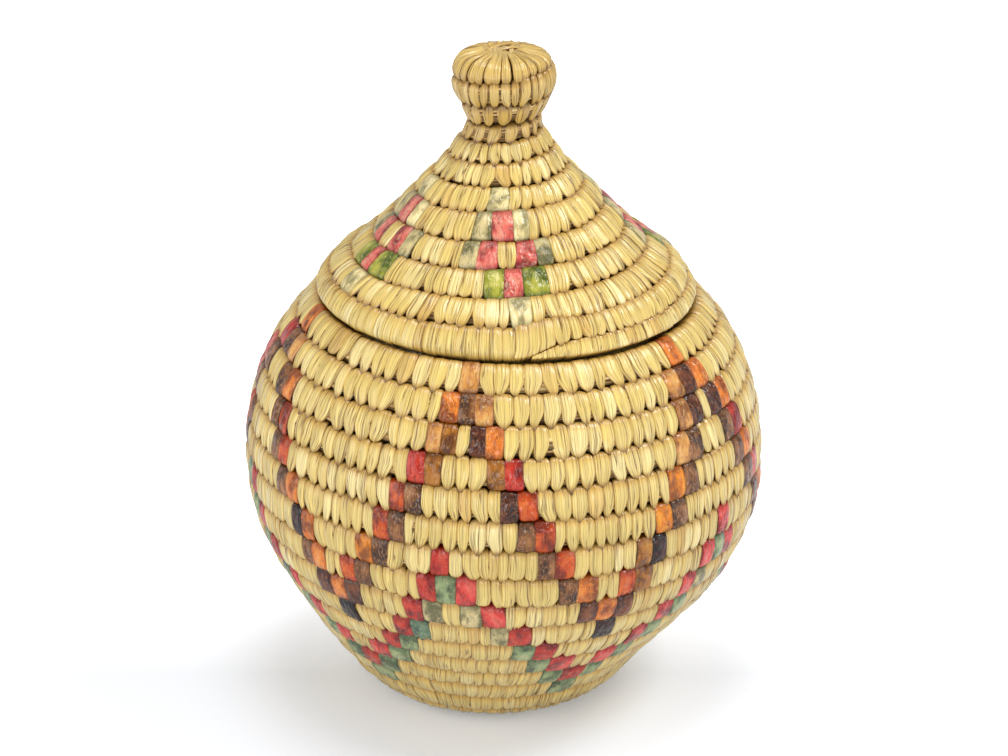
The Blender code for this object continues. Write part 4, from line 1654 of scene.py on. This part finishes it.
@dataclass
class KnobCap:
    """The top of the knob: strips rolled over its edge towards the middle, and loose ones laid across them.

    heart is the place that the strips gather at, as seen from above. Pairs are the least and the most of a
    measure, and the others are spreads.
    """

    sewing: Sewing
    skin: Outline
    cord_radius: float
    heart: tuple[float, float] = (-0.0010, 0.0016)
    seed: int = 77
    side_points: int = 9
    top_points: int = 7
    rolled: int = 31
    rolled_uneven: float = 0.10
    rolled_reach: tuple[float, float] = (0.50, 0.74)
    rolled_swing: float = 0.0004
    rolled_overlap: float = 1.03
    rolled_rise: float = 0.0006
    rolled_dip: float = 0.0024
    crossing: int = 24
    crossing_turn: float = 0.15
    crossing_off: float = 0.0058
    crossing_bow: float = 0.0010
    crossing_slide: float = 0.0018
    crossing_length: tuple[float, float] = (0.0042, 0.0066)
    crossing_layer: tuple[float, float] = (-0.0007, 0.0009)
    crossing_dip: float = 0.0018
    crossing_half: tuple[float, float] = (0.0007, 0.0012)
    worn: float = 0.20

    def roll(self, rng: np.random.Generator) -> tuple[np.ndarray, np.ndarray, np.ndarray]:
        """Rolls strips up the knob's side and over its edge.

        Args:
            rng: what their unevenness is drawn from.

        Returns:
            The points of each strip, the directions that it faces, and its half widths.
        """
        coil, number = self.sewing.coil, self.rolled
        uneven = rng.normal(0.0, self.rolled_uneven, number)
        middle = coil.rows - 1.5 + (np.arange(number) + 0.5 + uneven) / number
        seam = coil.read(middle, coil.outer)
        share = np.linspace(0.0, 1.0, self.side_points)[None, :]
        ends = [coil.place(row) for row in (seam + 0.12, np.full(number, 1.05))]
        low, high = (
            self.skin.nearest(point + facing * depth[:, None])[:, None] for point, facing, depth in ends
        )
        point, facing = self.skin.at(low + (high - low) * share)
        out = np.interp(share, (0.0, 0.12, 0.25, 0.4, 1.0), (0.50, 0.80, 0.93, 0.97, 0.97))
        point = point - facing * ((1.0 - out) * self.cord_radius)[..., None]
        turn = coil.angle(middle)[:, None]
        side, faces = (
            np.stack([flat[..., 0] * np.sin(turn), -flat[..., 0] * np.cos(turn), flat[..., 1]], axis=-1)
            for flat in (point, facing)
        )
        edge = side[:, -1:]
        inward = (np.array([*self.heart, 0.0]) - edge) * np.array([1.0, 1.0, 0.0])
        aside = np.cross(inward, [0.0, 0.0, 1.0])
        aside /= np.linalg.norm(aside, axis=-1, keepdims=True)
        step = np.linspace(0.14, 1.0, self.top_points)[None, :, None]
        reach = rng.uniform(*self.rolled_reach, (number, 1, 1))
        swing = rng.normal(0.0, self.rolled_swing, (number, 1, 1))
        top = edge + inward * step * reach + aside * swing * step**1.3
        top[..., 2:] = edge[..., 2:] + self.rolled_rise * smooth_step(step * 1.8) - self.rolled_dip * step**4
        half_side = np.hypot(side[..., 0], side[..., 1]) * math.pi / number * self.rolled_overlap
        half_side = half_side * np.interp(share, (0.0, 0.08, 0.25), (0.45, 0.80, 1.0))
        half_top = np.interp(step[..., 0], (0.0, 0.5, 1.0), (1.06, 0.92, 0.55)) * half_side[:, -1:]
        upright = np.broadcast_to([0.0, 0.0, 1.0], top.shape)
        return (
            np.concatenate([side, top], axis=1),
            np.concatenate([faces, upright], axis=1),
            np.concatenate([half_side, half_top], axis=1),
        )

    def cross(self, rng: np.random.Generator, height: float) -> tuple[np.ndarray, np.ndarray, np.ndarray]:
        """Lays loose strips across the knob's top.

        Args:
            rng: what their unevenness is drawn from.
            height: the height of the knob's top.

        Returns:
            The points of each strip, the directions that it faces, and its half widths.
        """
        number = self.crossing
        shape = (number, 1, 1)
        line = np.linspace(-1.0, 1.0, self.side_points + self.top_points)[None, :, None]
        lie = np.linspace(0.0, math.pi, number, endpoint=False)[rng.permutation(number)]
        lie = (lie + rng.normal(0.0, self.crossing_turn, number))[:, None, None]
        level = np.zeros(shape)
        way = np.concatenate([np.cos(lie), np.sin(lie), level], axis=-1)
        square = np.concatenate([-np.sin(lie), np.cos(lie), level], axis=-1)
        off = rng.uniform(-self.crossing_off, self.crossing_off, shape)
        off = off + rng.normal(0.0, self.crossing_bow, shape) * line**2
        slide = rng.normal(0.0, self.crossing_slide, shape)
        length = rng.uniform(*self.crossing_length, shape)
        path = np.array([*self.heart, height]) + way * (length * line + slide) + square * off
        path[..., 2:] += rng.uniform(*self.crossing_layer, shape) - self.crossing_dip * np.abs(line) ** 4
        half = rng.uniform(*self.crossing_half, (number, 1)) * (1.0 - 0.45 * np.abs(line[..., 0]) ** 3)
        return path, np.broadcast_to([0.0, 0.0, 1.0], path.shape), half

    def build(self) -> bpy.types.Object:
        """Builds the cap.

        Returns:
            One object of all the strips.
        """
        rng = np.random.default_rng(self.seed)
        rolled = self.roll(rng)
        crossing = self.cross(rng, rolled[0][:, : self.side_points, 2].max())
        path, facing, half = (np.concatenate(pair) for pair in zip(rolled, crossing))
        return self.sewing.ribbons("cap_wraps", path, facing, half, self.worn)


@dataclass
class BasketLid:
    """The lid: one cord of grass that winds down from the knob's middle to the rim.

    The cone's and the knob's shares are of their own radius and of the lid's height. knob_rows are the widths
    of the rows from the knob's middle to the neck, and the cone's rows share out the rest.
    """

    finishes: Finishes
    lid_radius: float = 0.0567
    lid_height: float = 0.0725
    knob_radius: float = 0.0151
    wall_height: float = 0.1250
    cone_shares: tuple[tuple[float, float], ...] = (
        (1.000, 0.014),
        (0.910, 0.116),
        (0.778, 0.192),
        (0.658, 0.274),
        (0.556, 0.356),
        (0.444, 0.450),
        (0.351, 0.528),
        (0.273, 0.611),
    )
    knob_shares: tuple[tuple[float, float], ...] = (
        (0.732, 0.710),
        (0.808, 0.776),
        (0.967, 0.843),
        (1.000, 0.890),
        (0.960, 0.941),
        (0.788, 0.985),
        (0.450, 1.000),
        (0.000, 1.000),
    )
    knob_rows: tuple[float, ...] = (0.0078, 0.0034, 0.0048, 0.0082, 0.0076)
    cone_row_shares: tuple[float, ...] = (0.092, 0.115, 0.115, 0.139, 0.131, 0.139, 0.139, 0.130)
    knob_cord_radius: float = 0.0036
    cord_radius: float = 0.0043
    strip: float = 0.0009
    end_angle: float = math.radians(4)
    sway_rows: float = 0.14
    start_turns: float = 0.9
    collar_radius: float = 0.0033
    collar_turns: float = 1.15

    def skin(self) -> Outline:
        """Draws the lid's skin, from the knob's middle down to the rim.

        Returns:
            Its outline.
        """
        knob = [(across * self.knob_radius, up) for across, up in self.knob_shares]
        cone = [(across * self.lid_radius, up) for across, up in self.cone_shares]
        return Outline(smooth_outline(cone + knob, 1.0, self.lid_height, self.wall_height)[::-1], -1)

    def coil(self) -> Coil:
        """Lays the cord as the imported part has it.

        Returns:
            The coil.
        """
        skin = self.skin()
        neck = sum(self.knob_rows)

        def thickness(length: np.ndarray) -> np.ndarray:
            """Gives the cord's radius at lengths down the skin, which grows from the neck down."""
            share = np.clip((length - neck) / (neck / 2), 0.0, 1.0)
            return self.knob_cord_radius + (self.cord_radius - self.knob_cord_radius) * share

        point, facing = skin.at(skin.lengths)
        middles = point - facing * (thickness(skin.lengths) + self.strip)[:, None]
        line = Outline(middles, -1)
        rest = line.lengths[-1] - neck
        widths = [*self.knob_rows, *(rest * share for share in self.cone_row_shares)]
        edges = np.concatenate([[0.0], np.cumsum(widths)])
        numbers = np.arange(len(edges))

        def place(row: np.ndarray) -> tuple[np.ndarray, np.ndarray, np.ndarray]:
            """Places the cord under the lid's skin.

            Args:
                row: the rows, counted down from the knob's middle.

            Returns:
                The cord's middle, its outward direction and its depth.
            """
            length = np.interp(row, numbers, edges)
            length = length + np.maximum(row - numbers[-1], 0.0) * widths[-1]
            middle, facing = line.at(length)
            return middle, facing, thickness(length) + self.strip

        def rim(angle: np.ndarray) -> np.ndarray:
            """Gives how far past the last row the lid's edge lies."""
            return self.sway_rows * np.sin(angle)

        rows = float(len(widths))
        turns = rows + 1.0 - self.start_turns
        return Coil(rows, self.end_angle, 2, 0.06, rim, place, turns, False, seed=8)

    def pattern(self) -> list[tuple[float, float, Dye]]:
        """Lists the dyed wraps of the small trees on the cone.

        Returns:
            First and last turns left of each wrap, and its dye.
        """
        end = math.degrees(self.end_angle)
        made: list[tuple[float, float, Dye]] = []
        for azimuth in TREE_AZIMUTHS:
            for row, edges, dyes in TREE:
                start = ((azimuth - end) / 360.0) % 1.0 + 8 - row
                for first, last, letter in zip(edges, edges[1:], dyes):
                    made.append((start + first / 360.0, start + last / 360.0, LETTERS[letter]))
        return made

    def collar(self) -> Coil:
        """Lays the hidden collar under the rim, a plain ring and a bit of cord.

        Returns:
            The collar's coil.
        """
        low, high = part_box("lid_collar_coil")
        across = (high[0] - low[0]) / 2 - self.collar_radius
        top = high[2] - self.collar_radius
        drop = (high[2] - low[2] - 2 * self.collar_radius) / self.collar_turns

        def place(row: np.ndarray) -> tuple[np.ndarray, np.ndarray, np.ndarray]:
            """Places the cord, facing straight outward.

            Args:
                row: the rows, counted down from the first.

            Returns:
                The cord's middle, its outward direction and its depth.
            """
            middle = np.stack([np.full(row.shape, across), top - drop * (row - 0.5)], axis=-1)
            facing = np.stack([np.ones(row.shape), np.zeros(row.shape)], axis=-1)
            return middle, facing, np.full(row.shape, self.collar_radius)

        turns = self.collar_turns
        return Coil(turns, self.end_angle, 0, 0.05, np.zeros_like, place, turns, False, wander=0.0)

    def build(self) -> None:
        """Builds and dresses the lid."""
        coil = self.coil()
        wraps = lay_out(coil, self.pattern(), LID_WIDTHS_MM, 6)
        sewing = Sewing(coil, wraps, self.finishes, 31)
        rows = coil.rows
        rim = WrapStyle(top=STRAIGHT_TOP, foot=ROUND_FOOT, bulge=0.035, edge_drop=0.05, flush=0.22)
        cone = WrapStyle(top=STRAIGHT_TOP, foot=SCALLOPED_FOOT, bulge=0.045, lean=0.7, flush=0.22)
        upper = WrapStyle(top=STRAIGHT_TOP, foot=SCALLOPED_FOOT, bulge=0.045)
        lens = WrapStyle(top=DOMED_TOP, foot=POINTED_FOOT, bulge=0.07)
        sparse = WrapStyle(top=LENS_TOP, foot=POINTED_FOOT, bulge=0.08, overlap=0.88, worn=0.30)
        knob = WrapStyle(top=DOMED_TOP, foot=POINTED_FOOT, bulge=0.07, overlap=0.96, worn=0.20)
        runs = (
            ("rim_wraps", 0.0, 1.03, rim, "lid_rim_coil"),
            ("lower_cone_wraps", 1.03, 2.0, cone, "lid_coil"),
            ("cone_wraps", 2.0, 4.5, upper, "lid_coil"),
            ("upper_cone_wraps", 4.5, 6.5, upper, "lid_coil"),
            ("top_cone_wraps", 6.5, rows - 4.5, lens, "lid_coil"),
            ("neck_wraps", rows - 4.5, rows - 2.5, sparse, "neck_coil"),
            ("knob_wraps", rows - 2.5, rows - 1.5, knob, "knob_coil"),
        )
        for name, first, end, style, node in runs:
            hand_over(sewing.piece(name, first, end, style), "lid", SEWN_SLOT, node)
        cap = KnobCap(sewing, self.skin(), self.knob_cord_radius)
        hand_over(cap.build(), "lid", SEWN_SLOT, "knob_cap_coil")
        hand_over(sewing.bundle("lid_grass", BUNDLE_START, rows - 1.45), "lid", GRASS_SLOT)
        collar = self.collar()
        laced = WrapStyle(top=LACED_TOP, foot=ROUND_FOOT, bulge=0.035, flush=0.22)
        collar_sewing = Sewing(collar, lay_out(collar, [], COLLAR_WIDTHS_MM, 9), self.finishes, 41)
        strips = collar_sewing.piece("collar_wraps", 0.0, collar.turns, laced)
        hand_over(strips, "lid", SEWN_SLOT, "lid_collar_coil")


@dataclass
class Studio:
    """A white paper sweep under soft lamps, and the camera.

    floor_glow is how white the paper is to the camera right under the basket. It grows to full white between
    the two reaches round the basket, and between the two depths behind it. world_light is what the white room
    gives, and each lamp has its name, place, side and power.
    """

    camera_place: tuple[float, float, float] = (0.0, -0.7244, 0.4098)
    aim: tuple[float, float, float] = (0.0, 0.0, 0.0957)
    lens_mm: float = 94.1
    sensor_mm: float = 36.0
    paper: str = "#DFE3EA"
    floor_side: float = 6.0
    floor_glow: float = 0.19
    glow_reach: tuple[float, float] = (0.17, 0.40)
    glow_depth: tuple[float, float] = (-0.01, 0.11)
    world_light: float = 0.52
    lamps: tuple[tuple[str, tuple[float, float, float], float, float], ...] = (
        ("key_lamp", (0.62, -0.08, 0.95), 0.32, 5.2),
        ("top_lamp", (-0.04, -0.08, 1.24), 0.50, 5.2),
        ("left_lamp", (-0.85, -0.45, 0.38), 0.80, 5.2),
        ("right_lamp", (0.95, -0.50, 0.30), 0.70, 3.3),
        ("front_lamp", (0.05, -1.34, 0.10), 0.60, 6.7),
    )

    def hang(self, made: bpy.types.Object, place: tuple[float, float, float]) -> None:
        """Puts a lamp or the camera in its place, pointing at the basket.

        Args:
            made: the lamp or the camera.
            place: where it goes.
        """
        made.location = place
        made.rotation_euler = (Vector(self.aim) - Vector(place)).to_track_quat("-Z", "Y").to_euler()
        bpy.context.scene.collection.objects.link(made)

    def camera(self) -> None:
        """Sets up the camera."""
        data = bpy.data.cameras.new("camera")
        data.lens = self.lens_mm
        data.sensor_width = self.sensor_mm
        data.clip_start = 0.01
        made = bpy.data.objects.new("camera", data)
        self.hang(made, self.camera_place)
        bpy.context.scene.camera = made

    def lamp(self, name: str, place: tuple[float, float, float], size: float, power: float) -> None:
        """Hangs a soft square lamp that points at the basket.

        Args:
            name: the lamp's name.
            place: where it hangs.
            size: its side.
            power: its power in watts.
        """
        data = bpy.data.lights.new(name, "AREA")
        data.shape = "SQUARE"
        data.size = size
        data.energy = power
        self.hang(bpy.data.objects.new(name, data), place)

    def floor(self) -> None:
        """Lays the white paper, which is white to the camera and keeps the basket's shadow."""
        mesh = bpy.data.meshes.new("floor")
        side = self.floor_side
        corners = [(-side, -side, 0.0), (side, -side, 0.0), (side, side, 0.0), (-side, side, 0.0)]
        mesh.from_pydata(corners, [], [(0, 1, 2, 3)])
        made = bpy.data.objects.new("floor", mesh)
        bpy.context.scene.collection.objects.link(made)
        material, tree = blank_material("white_paper_matte")
        seen = add_node(tree, "ShaderNodeLightPath").outputs["Is Camera Ray"]
        paper = add_node(
            tree,
            "ShaderNodeBsdfPrincipled",
            None,
            {"Base Color": linear(self.paper), "Roughness": 0.9, "IOR": 1.45, "Specular IOR Level": 0.0},
        )
        place = add_node(tree, "ShaderNodeTexCoord").outputs["Object"]
        away = add_node(tree, "ShaderNodeVectorMath", {"operation": "LENGTH"}, (place,)).outputs["Value"]
        depth = add_node(tree, "ShaderNodeSeparateXYZ", None, (place,)).outputs["Y"]
        wide = add_node(tree, MAP_RANGE, None, (away, *self.glow_reach, self.floor_glow, 1.0))
        behind = add_node(tree, MAP_RANGE, None, (depth, *self.glow_depth, self.floor_glow, 1.0))
        far = add_node(tree, MATH, {"operation": "MAXIMUM"}, (wide, behind))
        strength = add_node(tree, MATH, {"operation": "MULTIPLY"}, (seen, far))
        white = {"Color": linear("#FFFFFF"), "Strength": strength}
        glow = add_node(tree, "ShaderNodeEmission", None, white)
        both = add_node(tree, "ShaderNodeAddShader", None, (paper, glow))
        add_node(tree, "ShaderNodeOutputMaterial", None, {"Surface": both})
        mesh.materials.append(material)

    def world(self) -> None:
        """Lights the room softly from all round, with white behind."""
        world = bpy.data.worlds.new("studio")
        world.use_nodes = True
        tree = world.node_tree
        tree.nodes.clear()
        seen = add_node(tree, "ShaderNodeLightPath").outputs["Is Camera Ray"]
        strength = add_node(tree, MAP_RANGE, None, (seen, 0.0, 1.0, self.world_light, 1.0))
        sky = add_node(tree, "ShaderNodeBackground", None, {"Color": linear("#FFFFFF"), "Strength": strength})
        add_node(tree, "ShaderNodeOutputWorld", None, {"Surface": sky})
        bpy.context.scene.world = world

    def build(self) -> None:
        """Builds the studio."""
        self.camera()
        self.floor()
        self.world()
        for lamp in self.lamps:
            self.lamp(*lamp)
        bpy.context.scene.view_settings.view_transform = "Standard"
        LOG.info("studio built")


def main() -> None:
    """Builds the basket and its studio."""
    logging.basicConfig(level=logging.INFO, format="%(message)s")
    finishes = Finishes()
    BasketBody(finishes).build()
    BasketLid(finishes).build()
    Studio().build()


if __name__ == "__main__":
    main()
